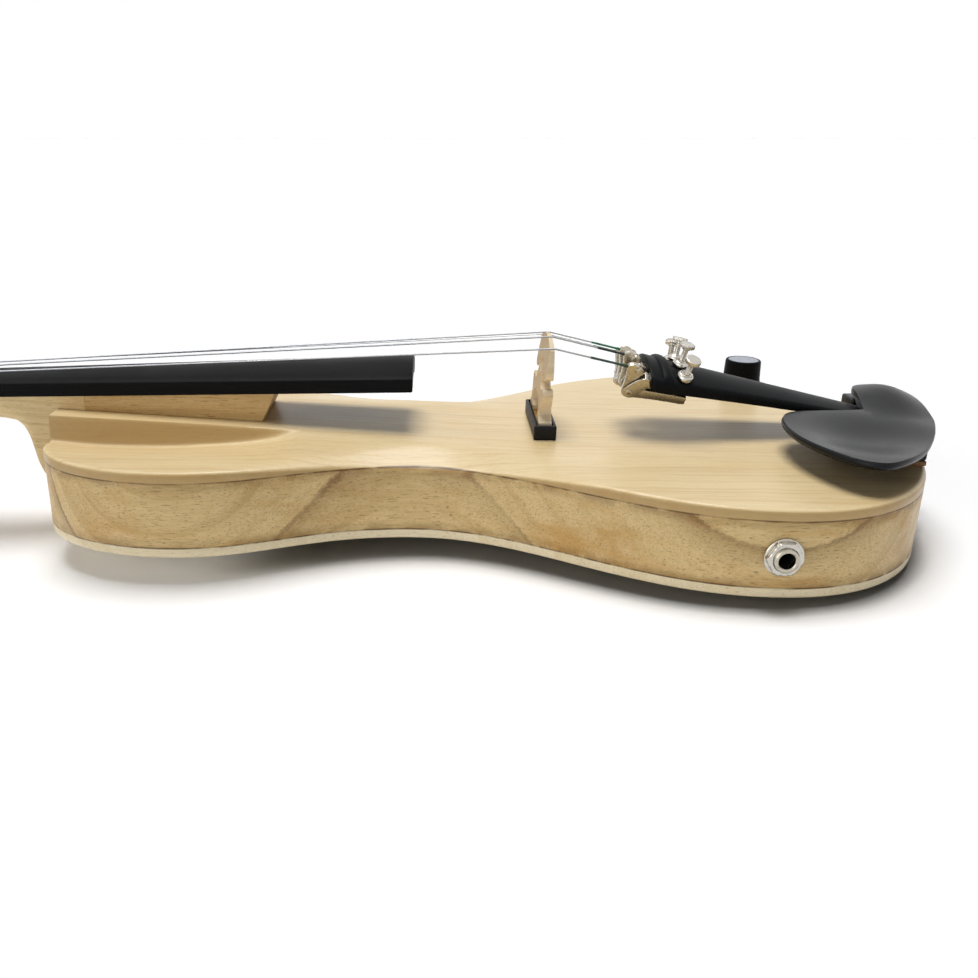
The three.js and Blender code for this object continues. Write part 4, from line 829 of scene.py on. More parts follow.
@dataclass
class BodyPlan:
    """Outline and carving of the body, shared by its boards.

    neck_reach and tail_reach run from the bridge. halves are the half widths at the neck end, upper bout,
    waist and lower bout, and stations the places of the last three. pull_shares are the lengths of the
    outline's curve handles. depth, glue and back_top are the heights of the flat top and of the two joints.
    carving_shares holds station, scoop, rim drop, crease place and crease height.
    """

    neck_reach: float = 212.0
    tail_reach: float = TAIL
    halves: tuple[float, ...] = (30.0, 72.0, 49.5, 104.5)
    stations: Point = (-152.0, -58.0, 86.0)
    pull_shares: tuple[float, ...] = (0.56, 0.56, 0.36, 0.47, 0.36, 0.43, 0.6, 0.6)
    depth: float = 36.0
    glue: float = 31.5
    back_top: float = 4.3
    ramp_rise: float = 9.0
    ramp_start: float = 10.6
    scoop_depth: float = 11.3
    bevel_depth: float = 5.6
    ridge_half: float = 26.0
    foot_half: float = 28.0
    rim_least: float = 34.0
    carving_shares: tuple[tuple[float, ...], ...] = ((-0.085, 0, 0, 0.7, 1), (-0.02, 0, 0.22, 0.56, 0.99),
        (0.05, 0.001, 0.44, 0.43, 0.99), (0.12, 0.002, 0.66, 0.36, 0.99), (0.18, 0.003, 0.88, 0.32, 0.99),
        (0.25, 0.005, 1, 0.32, 0.985), (0.32, 0.01, 0.92, 0.44, 0.86), (0.38, 0.02, 0.72, 0.58, 0.62),
        (0.44, 0.02, 0.54, 0.72, 0.45), (0.5, 0.02, 0.36, 0.78, 0.34), (0.54, 0.28, 0.24, 0.76, 0.24),
        (0.58, 0.47, 0.12, 0.7, 0.12), (0.63, 0.62, 0.02, 0.6, 0), (0.71, 0.8, 0, 0.55, -0.1),
        (0.8, 0.94, 0, 0.5, -0.14), (0.9, 1, 0, 0.5, -0.14), (1, 0.93, 0, 0.5, -0.1))
    steps: tuple[int, ...] = (26, 26, 38, 52)
    edge: list[tuple[Vector, Vector]] = field(default_factory=list)

    def __post_init__(self) -> None:
        """Works out the treble half of the outline with its inward directions."""
        end, upper, waist, lower = self.halves
        up, mid, low = self.stations
        p = self.pull_shares
        neck, tail = -self.neck_reach, self.tail_reach
        curves = [[(neck, end), (neck, lerp(end, upper, p[0])), (up - p[1] * (up - neck), upper),
            (up, upper)], [(up, upper), (up + p[2] * (mid - up), upper), (mid - p[3] * (mid - up), waist),
            (mid, waist)], [(mid, waist), (mid + p[4] * (low - mid), waist),
            (low - p[5] * (low - mid), lower), (low, lower)], [(low, lower),
            (low + p[6] * (tail - low), lower), (tail, p[7] * lower), (tail, 0)],]
        for curve, steps in zip(curves, self.steps):
            a, b, c, d = (Vector(k) for k in curve)
            for i in range(steps + (curve is curves[-1])):
                t = i / steps
                place = (1 - t) ** 3 * a + 3 * t * (1 - t) ** 2 * b + 3 * t * t * (1 - t) * c + t ** 3 * d
                pull = (1 - t) ** 2 * (b - a) + 2 * t * (1 - t) * (c - b) + t * t * (d - c)
                pull.normalize()
                self.edge.append((place, Vector((pull.y, -pull.x))))

    def half(self, x: float) -> float:
        """Half width of the body at a place along it."""
        for (before, _), (after, _) in zip(self.edge, self.edge[1:]):
            if x <= after.x and after.x > before.x:
                return lerp(before.y, after.y, (x - before.x) / (after.x - before.x))
        return 0.0

    def ramp(self, x: float) -> float:
        """Height of the middle of the top."""
        return self.depth + self.ramp_rise * clamp((-x - self.ramp_start)
            / (self.neck_reach - self.ramp_start))

    def carving(self, x: float) -> list[float]:
        """Carving values at a place, softened over a short stretch."""
        at = -x / self.neck_reach
        window = (-0.024, -0.012, 0, 0.012, 0.024)
        columns = range(1, len(self.carving_shares[0]))
        tables = [[(row[0], row[k]) for row in self.carving_shares] for k in columns]
        return [sum(through(table, at + w) for w in window) / len(window) for table in tables]

    def top(self, x: float, y: float) -> float:
        """Height of the carved top, its corners turned into small rounds.

        Args:
            x: Place along the body.
            y: Place across the body.

        Returns:
            The height before the rim is rounded.
        """
        scoop, rim, crease, height = self.carving(x)
        middle = self.ramp(x)
        rim_at = max(self.half(x), self.rim_least)
        rim_z = self.depth - self.bevel_depth * rim
        foot_z = middle - self.scoop_depth * scoop
        crease_at = lerp(self.foot_half, rim_at, crease)
        crease_z = lerp(rim_z, middle, height)
        knots = [(0, middle), (self.ridge_half, middle), (self.foot_half, foot_z), (crease_at, crease_z),
            (rim_at, rim_z)]
        slopes = [(b[1] - a[1]) / (b[0] - a[0]) for a, b in zip(knots, knots[1:])]
        soft = min(7.0, 0.42 * (rim_at - crease_at), 0.42 * (crease_at - self.foot_half))
        result = middle
        for k, radius in enumerate((0.45, 1.0, soft)):
            past = abs(y) - knots[k + 1][0]
            turn = slopes[k + 1] - slopes[k]
            if past > radius:
                result += turn * past
            elif past > -radius:
                result += turn * (past + radius) ** 2 / (4 * radius)
        return result


@dataclass
class Body(SubAssembly):
    """Carved top board, core board with its pockets, and back board.

    rim_band is the width of the band along the rim that follows the outline, and joint_bevel the tiny bevel
    on both sides of a glue joint. jack and knob give the place and the radius of their holes, pot_room and
    jack_room half of the room behind them.
    """

    plan: BodyPlan
    rim_round: float = 1.9
    back_round: float = 1.3
    rim_band: float = 6.0
    joint_bevel: float = 0.05
    jack: Point = (*JACK_AT, 5.05)
    knob: Point = (*KNOB_AT, 4.05)
    pot_room: float = 10.7
    jack_room: float = 8.1

    def loop(self) -> list[tuple[Vector, Vector, float]]:
        """Edge of the body, from the tail round the bass side and the neck end to the treble side.

        Returns:
            Place, inward direction and top edge radius of each point.
        """
        edge = self.plan.edge
        treble = [(p, n, self.rim_round) for p, n in edge]
        bass = [(Vector((p.x, -p.y)), Vector((n.x, -n.y)), self.rim_round) for p, n in edge]
        columns = self.columns(self.plan.halves[0])
        end = []
        for y in [-c for c in reversed(columns[1:-1])] + columns[:-1]:
            soft = self.rim_round * ease((abs(y) - self.plan.ridge_half)
                / (self.plan.halves[0] - self.plan.ridge_half))
            end.append((Vector((-self.plan.neck_reach, y)), Vector((1, 0)), soft))
        return list(reversed(bass)) + end + treble[:-1]

    @staticmethod
    def columns(reach: float) -> list[float]:
        """Places across a half row, closer together at the ridge."""
        near = [0, 9, 18, 23, 25.2, 25.6, 26, 26.4, 26.8, 27.2, 27.6, 28, 28.5, 29]
        share = 1.0 if reach >= 29.5 else reach / 29.5
        near = [n * share for n in near]
        return near + [lerp(near[-1], reach, k / 22) for k in range(1, 23)]

    def skin(self, place: Vector, inward: Vector, soft: float, away: float) -> float:
        """Height of the top at a distance inward from the edge, the edge rounded."""
        spot = place + inward * away
        drop = soft - sqrt(soft * soft - (soft - away) ** 2) if away < soft else 0.0
        return self.plan.top(spot.x, spot.y) - drop

    def board_start(self, place: Vector, inward: Vector, soft: float) -> float:
        """Distance inward at which the top surface rises over the glue joint."""
        away = 0.0
        while away < self.rim_band - 0.5 and self.skin(place, inward, soft, away) < self.plan.glue:
            away += 0.1
        return away

    def make_top(self) -> Piece:
        """Top board: a grid in the middle, a band that follows the rim, and the wall below it."""
        loop = self.loop()
        edge = self.plan.edge
        width = len(self.columns(self.plan.halves[0]))
        points: list[Vector] = []
        faces: list[tuple[int, ...]] = []
        rows = []
        for place, inward in edge:
            spot = place + inward * self.rim_band
            half = self.columns(max(spot.y, 0.0))
            across = [-y for y in reversed(half[1:])] + half
            rows.append(len(points))
            points += [Vector((spot.x, y, self.plan.top(spot.x, y))) for y in across]
        count = 2 * width - 1
        for a, b in zip(rows, rows[1:]):
            faces += [(a + i, a + i + 1, b + i + 1, b + i) for i in range(count - 1)]
        bounds = [rows[i] for i in reversed(range(len(edge)))]
        bounds += [rows[0] + i for i in range(1, count - 1)]
        bounds += [rows[i] + count - 1 for i in range(len(edge) - 1)]
        last = bounds
        turns = [self.rim_round * (1 - sin(t)) for t in spread(0, pi / 2, 7)]
        levels = [self.rim_band * s for s in (0.8, 0.6, 0.45)] + turns
        starts = [self.board_start(*element) for element in loop]
        for level in levels:
            ring = []
            for (place, inward, soft), start in zip(loop, starts):
                away = lerp(start, self.rim_band, level / self.rim_band)
                spot = place + inward * away
                ring.append(Vector((spot.x, spot.y, max(self.plan.glue,
                    self.skin(place, inward, soft, away)))))
            last = self.strip(points, faces, last, ring)
        for away, rise in ((0.0, 2 * self.joint_bevel), (self.joint_bevel, 0.0)):
            ring = []
            for (place, inward, _), start in zip(loop, starts):
                spot = place + inward * (start + away)
                ring.append(Vector((spot.x, spot.y, self.plan.glue + (rise if start == 0 else 0))))
            last = self.strip(points, faces, last, ring)
        faces.append(tuple(last))
        return Form(points, faces).piece("soundboard_carved", 38)

    @staticmethod
    def strip(points: list[Vector], faces: list[tuple[int, ...]], last: list[int],
            ring: list[Vector]) -> list[int]:
        """Adds a ring of points and the faces that join it to the last ring.

        Args:
            points, faces: The form so far, added to.
            last: Point numbers of the last ring.
            ring: The new ring.

        Returns:
            Point numbers of the new ring.
        """
        base = len(points)
        points += ring
        new = list(range(base, base + len(ring)))
        count = len(new)
        for i in range(count):
            k = (i + 1) % count
            faces.append((last[i], last[k], new[k], new[i]))
        return new

    def make_core(self) -> Piece:
        """Core board: its rim shows between the joints, and where the waist bevel cuts below the top."""
        loop = self.loop()
        starts = [self.board_start(*element) for element in loop]
        glue, low = self.plan.glue, self.plan.back_top
        rings = []
        for share in spread(1, 0, 9):
            ring = []
            for (place, inward, soft), start in zip(loop, starts):
                away = start * share if start else self.joint_bevel
                height = min(glue, self.skin(place, inward, soft, away)) if start else glue
                spot = place + inward * away
                ring.append((spot.x, spot.y, height))
            rings.append(ring)
        for away, height in ((0.0, glue - 2 * self.joint_bevel), (0.0, 0.5 * (glue + low)),
                (0.0, low + 2 * self.joint_bevel), (self.joint_bevel, low)):
            ring = []
            for (place, inward, soft), start in zip(loop, starts):
                spot = place + inward * away
                top = self.skin(place, inward, soft, 0.0) if start else glue
                ring.append((spot.x, spot.y, min(height, top)))
            rings.append(ring)
        piece = loft(rings).piece("core_board_ribs", 38)
        combine(piece, self.pockets(), "DIFFERENCE", 38)
        return piece

    def pockets(self) -> list[Form]:
        """Room in the core for the volume control, the jack, their leads and the end button."""
        along, out, _ = self.knob
        jack_at, jack_z, jack_hole = self.jack
        high = self.plan.glue + 4
        floor = self.plan.glue - 9
        face = self.plan.half(jack_at)
        inner = JACK_WALL - face
        way = 3.0
        room = self.jack_room
        bore = rod(jack_hole, -4, JACK_WALL + 4).spun("X", -90).shifted(jack_at, -face, jack_z)
        button = rod(4.0, -16, 4).spun("Y", 90).shifted(TAIL, 0, BUTTON_AT)
        return [rod(self.pot_room, floor - 4, high).shifted(along, out),
            block((-way, LEAD_OUT - way, floor), (along + way, LEAD_OUT + way, high), 0),
            block((along - way, LEAD_OUT + way / 2, floor), (along + way, out - 4, high), 0),
            block((jack_at - way, inner + way, floor), (jack_at + way, LEAD_OUT, high), 0),
            block((jack_at - room, inner, jack_z - room), (jack_at + room, inner + 40, high), 0), bore,
            button,]

    def make_back(self) -> Piece:
        """Back board with a rounded lower edge."""
        high = self.plan.back_top
        turns = spread(0, pi / 2, 6)
        levels = [(self.joint_bevel, high), (0.0, high - 2 * self.joint_bevel)]
        levels += [(self.back_round * (1 - cos(t)), self.back_round * (1 - sin(t))) for t in turns]
        rings = []
        for away, height in levels:
            spots = [place + inward * away for place, inward, _ in self.loop()]
            rings.append([(spot.x, spot.y, height) for spot in spots])
        return loft(rings).piece("back_board_plain", 38)

    def build(self) -> None:
        """Makes and dresses the three boards."""
        top = self.make_top()
        along, out, hole = self.knob
        combine(top, [rod(hole, 25, 45).shifted(along, out), rod(LEAD_HOLE, 25, 45).shifted(0, LEAD_OUT),
            block((160.2, -17.8, 25), (172, 17.8, 45), 0)], "DIFFERENCE", 38)
        self.dress(top, Finish.TOP, "soundboard")
        self.dress(self.make_core(), Finish.RIB, "body_core")
        self.dress(self.make_back(), Finish.BACK, "back_board")


@dataclass
class StringSpec:
    """One string: the side and place of its peg, its lane from the middle, its radius, the finish
    of its speaking length and of its silk, and where the silk starts behind the bridge.
    """

    name: str
    side: Side
    peg_share: float
    lane: float
    radius: float
    finish: Finish
    silk: Finish
    silk_start: float


STRINGS = (StringSpec("g", Side.BASS, 0.17, -1.5, 0.4, Finish.WINDING, Finish.SILK_DARK, 19.0),
    StringSpec("d", Side.BASS, 0.445, -0.5, 0.38, Finish.WINDING, Finish.SILK_BLACK, 23.5),
    StringSpec("a", Side.TREBLE, 0.57, 0.5, 0.33, Finish.WINDING, Finish.SILK_GREEN, 22.5),
    StringSpec("e", Side.TREBLE, 0.3, 1.5, 0.22, Finish.PLAIN, Finish.SILK_GREEN, 25.0),)


@dataclass
class Board(SubAssembly):
    """Fingerboard, its riser, the nut and the saddle.

    The underside rises by slope from under_end at the free end. crown is the radius of the playing surface,
    and halves are the half widths at the nut and the free end.
    """

    nut_at: float = -328.0
    end_at: float = -58.5
    under_end: float = 56.3
    slope: float = 0.037
    side: float = 5.7
    crown: float = 42.0
    halves: Flat = (12.0, 21.2)
    soft: float = 0.5

    def under(self, x: float) -> float:
        """Height of the fingerboard's underside."""
        return self.under_end + self.slope * (x - self.end_at)

    def half(self, x: float) -> float:
        """Half width of the fingerboard."""
        return lerp(*self.halves, (x - self.nut_at) / (self.end_at - self.nut_at))

    def section(self, x: float, inward: float) -> list[Point]:
        """Ring across the fingerboard, its long edges rounded, shrunk by a small amount."""
        half = self.half(x)
        flat = half - self.soft
        turns = [(flat + self.soft * cos(t), self.soft * (1 - sin(t))) for t in spread(0, pi / 2, 5)]
        across = [(y, drop) for y, drop in turns] + [(y, 0.0) for y in spread(flat, -flat, 29)[1:-1]]
        across += [(-y, drop) for y, drop in reversed(turns)]
        crown = [(y, self.side + (half * half - y * y) / (2 * self.crown) - drop) for y, drop in across]
        ring = inset([(-half, 0.0), (half, 0.0)] + crown, inward)
        return [(x, y, self.under(x) + z) for y, z in ring]

    def make_fingerboard(self) -> Piece:
        """Fingerboard with a crowned top, softened ends and a hollow under its free end."""
        ends = [(self.nut_at, 0.0)] + [(x, 0.0) for x in spread(self.nut_at + 1, self.end_at - 0.6, 24)]
        ends += [(self.end_at - 0.25, 0.15), (self.end_at, 0.5)]
        piece = loft([self.section(x, inward) for x, inward in ends]).piece("fingerboard_crowned", 30)
        hollow = []
        for x in spread(-111.0, self.end_at + 4, 14):
            half = self.half(x) - self.side
            deep = 3.0 * ease((x + 114) / 30)
            arch = [(half * cos(t), deep * sin(t)) for t in spread(0, pi, 15)]
            hollow.append([(x, half, self.under(x) - 4)] + [(x, y, self.under(x) + z) for y, z in arch]
                + [(x, -half, self.under(x) - 4)])
        combine(piece, [loft(hollow)], "DIFFERENCE", 30)
        return piece

    def make_riser(self, plan: BodyPlan) -> tuple[Piece, Piece]:
        """Tongue of the neck and the block behind it, raked at its free end."""
        soft = 0.35
        joint = -200.3
        pieces = []
        for name, stations in (("neck_tongue", ((-212, -212, 15.5, 0.0), (joint, joint, 15.7, 0.0),
                (joint + 0.1, joint + 0.1, 15.6, 0.1))), ("riser_block",
                ((joint + 0.1, joint + 0.1, 15.6, 0.1), (joint + 0.2, joint + 0.2, 15.7, 0.0),
                (-118.4, -124.4, 17.48, 0.0), (-118, -124, 17.5, soft)))):
            rings = []
            for top_x, low_x, half, inward in stations:
                low, high = plan.ramp(low_x) + 0.05, self.under(top_x) - 0.05
                corners = rounded([(-half, low), (half, low), (half, high), (-half, high)], soft,
                    closed=True)
                rings.append([(lerp(low_x, top_x, clamp((z - low) / (high - low))), y, z) for y,
                    z in inset(corners, inward)])
            pieces.append(loft(rings).piece(name, 30))
        return tuple(pieces)

    def nut_top(self, y: float) -> float:
        """Height of the nut's crest."""
        half = self.halves[0]
        return self.under(self.nut_at) + self.side + 0.7 + (half * half - y * y) / (2 * self.crown)

    def make_nut(self) -> Piece:
        """Nut with a rounded crest that falls to the pegbox, and a groove for each string."""
        rings = []
        width = 5.2
        for back, drop in ((0.05, 0.35), (0.3, 0.08), (0.9, 0.0), (2.4, 0.02), (3.6, 0.35), (4.6, 0.95),
                (5.05, 1.6), (width, 2.4)):
            x = self.nut_at - back
            crest = []
            for y in spread(self.halves[0], -self.halves[0], 61):
                groove = sum(max(0.0, 0.42 - abs(y - s.lane / 3 * NUT_SPREAD)) for s in STRINGS)
                edge = 0.5 * max(0.0, abs(y) - self.halves[0] + 0.6)
                crest.append((x, y, self.nut_top(y) - drop - groove * 0.5 - edge))
            low = self.under(x)
            rings.append([(x, -self.halves[0], low), (x, self.halves[0], low)] + crest)
        return loft(rings).piece("nut_crowned", 30)

    def make_saddle(self) -> Piece:
        """Saddle with rounded shoulders where the tailgut bends over it."""
        outline = rounded([(160.5, 31.5), (167, 31.5), (167, 38.6), (165.2, 40.6), (163.0, 40.6),
            (160.5, 38.8)], 1.4, 5, closed=True)
        form = prism(outline, -17.5, 17.5, 0.7)
        return form.spun("X", 90).piece("saddle_rounded", 30)

    def build(self, plan: BodyPlan) -> None:
        """Makes and dresses the four pieces.

        Args:
            plan: Outline and carving of the body.
        """
        self.dress(self.make_fingerboard(), Finish.BOARD, "fingerboard")
        tongue, riser = self.make_riser(plan)
        self.dress(tongue, Finish.NECK)
        self.dress(riser, Finish.RISER, "fingerboard_riser")
        self.dress(self.make_nut(), Finish.EBONY, "nut")
        self.dress(self.make_saddle(), Finish.EBONY, "saddle")


@dataclass
class Head:
    """Side view of the head: s runs from the nut to the scroll, t up from the fingerboard's underside.

    halves are the half widths at the nut and past the last peg, and cheek is the pegbox wall.
    """

    board: Board
    length: float = 104.0
    depth: float = 27.0
    halves: Flat = (13.3, 10.6)
    cheek: float = 4.8
    peg_drop_share: float = 0.47

    def point(self, s: float, t: float) -> Flat:
        """Place along and height of a point of the side view."""
        x = self.board.nut_at - s
        return x, self.board.under(x) - 0.05 + t

    def half(self, s: float) -> float:
        """Half width of the head."""
        return lerp(*self.halves, clamp(s / (self.length * 0.66)))

    def peg_axis(self, spec: StringSpec) -> Flat:
        """Place along and height of a peg's axis."""
        return self.point(spec.peg_share * self.length, -self.peg_drop_share * self.depth)


@dataclass
class Neck(SubAssembly):
    """Neck, heel, pegbox and scroll in one piece of maple.

    halves are the half widths at the heel and the nut, and ear_half the one across the scroll's eye.
    """

    head: Head
    join_at: float = -212.0
    heel_reach: float = 13.0
    depth: float = 12.2
    heel_bottom: float = 9.5
    halves: Flat = (15.5, 12.0)
    volute_radius: float = 18.95
    ear_half: float = 20.5
    turns: float = 2.25

    def handle(self) -> Form:
        """Handle and heel through round sections that grow square towards the body."""
        board = self.head.board
        heel_depth = board.under(self.join_at) - self.heel_bottom
        heel_shares = [(0, 1), (0.66, 1), (0.8, 0.95), (0.93, 0.82), (1.02, 0.6), (1.12, 0.36), (1.3, 0.16),
            (1.65, 0.04), (2.4, 0), (9, 0)]
        square_shares = [(0, 1), (0.8, 1), (0.93, 0.95), (1.02, 0.85), (1.12, 0.7), (1.3, 0.5), (1.65, 0.2),
            (2.4, 0), (9, 0)]
        outs = spread(0, 0.6, 6) + spread(0.66, 1.3, 26) + spread(1.36, 2.4, 12)
        outs += spread(2.8, (self.join_at - board.nut_at) / self.heel_reach, 14)
        rings = []
        for out in outs:
            x = self.join_at - self.heel_reach * out
            along = (x - self.join_at) / (board.nut_at - self.join_at)
            half = lerp(*self.halves, along)
            power = lerp(2.2, 4.5, through(square_shares, out))
            deep = lerp(self.depth, heel_depth, through(heel_shares, out))
            top = board.under(x) - 0.05
            ring = [(x, -half, top)]
            for t in spread(0, pi, 41)[1:-1]:
                side, drop = -cos(t), sin(t)
                ring.append((x, half * copysign(abs(side) ** (2 / power), side), top
                    - deep * drop ** (2 / power)))
            ring.append((x, half, top))
            rings.append(ring)
        end = board.nut_at - 1.2
        rings.append([(end, y, z) for _, y, z in rings[-1]])
        return loft(rings)

    def plate(self, outline: list[Flat], half: Callable[[float], float], soft: float) -> Form:
        """Closed plate in the side view.

        Args:
            outline: Its outline.
            half: Half width at a place along it.
            soft: Radius of its edges.

        Returns:
            The plate.
        """
        turns = spread(0, pi / 2, 4) if soft else [pi / 2]
        levels = [(-1, soft * (1 - sin(t)), soft * (1 - cos(t))) for t in turns]
        levels += [(1, inward, drop) for _, inward, drop in reversed(levels)]
        rings = []
        for side, inward, drop in levels:
            ring = []
            for s, t in inset(outline, inward):
                x, z = self.head.point(s, t)
                ring.append((x, side * (half(s) - drop), z))
            rings.append(ring)
        return loft(rings)

    def pegbox(self) -> tuple[Form, Form]:
        """Pegbox, and the trough that is cut from it."""
        length, depth = self.head.length, self.head.depth
        back_shares = [(0.87, -0.9), (0.845, -1.1), (0.8, -1.115), (0.73, -1.075), (0.65, -1.0),
            (0.56, -0.965), (0.46, -0.99), (0.32, -1.03), (0.2, -0.985), (0.1, -0.84), (0.03, -0.62),
            (0.0, -0.45)]
        top_shares = [(0, 0), (0.055, 0), (0.3, -0.092), (0.6, -0.2), (0.68, -0.235), (0.76, -0.3)]
        floor_shares = [(0.055, -0.5), (0.12, -0.74), (0.3, -0.8), (0.5, -0.82), (0.6, -0.76),
            (0.66, -0.55)]
        narrow = 0.62
        back = smooth_line([(s * length, t * depth) for s, t in back_shares], 6)
        outline = turned([(s * length, t * depth) for s, t in top_shares] + back)
        outer = self.plate(outline, lambda s: self.head.half(s) * lerp(1, narrow,
            max(0.0, s / length - 0.5) * 2), 0.9)
        floor = smooth_line([(s * length, t * depth) for s, t in floor_shares], 5)
        trough = [(floor[0][0], 5.0)] + floor + [(floor[-1][0], 5.0)]
        return outer, self.plate(trough, lambda s: self.head.half(s) - self.head.cheek, 0.0)

    def half_turn(self, number: int) -> Form:
        """Half a turn of the scroll, from its middle to its rim.

        Args:
            number: Half turns before it.

        Returns:
            The solid; it reaches a little into the next one.
        """
        shares = [(i / 9 * self.turns, h) for i, h in enumerate((0.4, 0.33, 0.3, 0.36, 0.46, 0.58, 0.71,
            0.83, 0.94, 1.0))]
        middle = (0.83 * self.head.length, -0.42 * self.head.depth)
        soft = 1.5
        steps = 36
        rings = []
        for i in range(steps + 2):
            turn = (number + i / steps) / 2
            angle = FULL_TURN * turn - pi / 2
            far = self.volute_radius * lerp(1, 0.25, clamp(turn / self.turns))
            half = self.ear_half * through(shares, turn)
            rim = [(far - soft * (1 - sin(t)), half - 0.7 * soft * (1 - cos(t)))
                for t in spread(0, pi / 2, 5)]
            profile = [(0.0, half)] + rim + [(r, -y) for r, y in reversed(rim)] + [(0.0, -half)]
            ring = []
            for radius, y in profile:
                x, z = self.head.point(middle[0] + radius * cos(angle), middle[1] + radius * sin(angle))
                ring.append((x, y, z))
            rings.append(ring)
        return loft(rings)

    def build(self) -> None:
        """Makes and dresses the neck."""
        outer, trough = self.pegbox()
        piece = outer.piece("neck_and_scroll", 30)
        axes = [self.head.peg_axis(spec) for spec in STRINGS]
        for cutter in [trough] + [rod(4.1, -18, 18).spun("X", 90).shifted(x, 0, z) for x, z in axes]:
            combine(piece, [cutter], "DIFFERENCE", 30)
        for part in [self.handle()] + [self.half_turn(number) for number in range(6)]:
            combine(piece, [part], "UNION", 30)
        self.dress(piece, Finish.NECK, "neck")


@dataclass
class Pegs(SubAssembly):
    """Four pegs, each with its string wound round it.

    collar is its radius and width, thumb the length, half width and thickness of the thumb piece.
    """

    head: Head
    radius: float = 3.9
    taper: float = 0.5
    collar: Flat = (5.6, 2.4)
    thumb: Point = (12.0, 10.5, 5.0)
    wind_turns: float = 3.5
    wind_gap: float = 0.5

    def make_peg(self, spec: StringSpec) -> Form:
        """Peg turned about Z, its thumb piece up."""
        outer = self.head.half(spec.peg_share * self.head.length)
        wide, width = self.collar
        seat = outer + width
        profile = [(0, -outer - 1.2), (self.radius - self.taper, -outer - 1.2), (self.radius, outer),
            (self.radius, seat), (wide - 0.4, seat + 0.1), (wide, seat + 0.8), (wide - 0.5, seat + 1.3),
            (wide, seat + 1.8), (wide - 0.8, seat + width), (3.1, seat + width + 1.2),
            (2.8, seat + width + 2.6), (2.9, seat + width + 4), (0, seat + width + 4)]
        shank = lathe(rounded(profile, 0.35, 3), 48)
        long, half, thick = self.thumb
        right = [(2.9, 0), (4.2, 2.6), (8.4, 3.6), (half - 0.1, 7.0), (half - 0.6, 10.0), (6.4, 11.7),
            (2.6, long - 0.1), (0, long)]
        outline = smooth_line(right + [(-y, z) for y, z in reversed(right[:-1])], 5)
        rings = []
        count = 7
        for k in range(count):
            t = pi * (k / (count - 1) - 0.5)
            inward = 1.6 * (1 - cos(t))
            plate = inset(outline, inward)
            middle = (0.0, 6.6)
            ring = []
            for u, v in plate:
                far = clamp(hypot(u - middle[0], v - middle[1]) / half)
                swell = lerp(0.62, 1.0, ease(far * 0.9 + 0.1)) if v > 3 else 1.0
                ring.append((u, thick / 2 * sin(t) * swell, v + seat + 2 * width))
            rings.append(ring)
        return shank.added(loft(rings))

    def winding(self, spec: StringSpec) -> list[Point]:
        """Points of the string's turns on the peg."""
        x, z = self.head.peg_axis(spec)
        side = spec.side.value
        reach = self.radius + 0.3 + spec.radius
        y = side * (self.head.half(spec.peg_share * self.head.length) - self.head.cheek - 1.3)
        pitch = 2 * spec.radius + self.wind_gap
        steps = 40
        turns = [i / steps for i in range(int(self.wind_turns * steps) + 1)]
        return [(x - reach * sin(FULL_TURN * turn), y - side * pitch * turn, z
            + reach * cos(FULL_TURN * turn)) for turn in turns]

    def build(self) -> None:
        """Makes and dresses the pegs and windings."""
        for spec in STRINGS:
            x, z = self.head.peg_axis(spec)
            form = self.make_peg(spec).spun("X", -90 * spec.side.value).shifted(x, 0, z)
            body = f"peg_{spec.name}"
            self.dress(form.piece(f"{body}_turned", 34), Finish.EBONY, body, body)
            coil = tube(self.winding(spec), spec.radius, 10).piece(f"winding_{spec.name}_turns", 40)
            self.dress(coil, spec.silk, f"winding_{spec.name}", body)


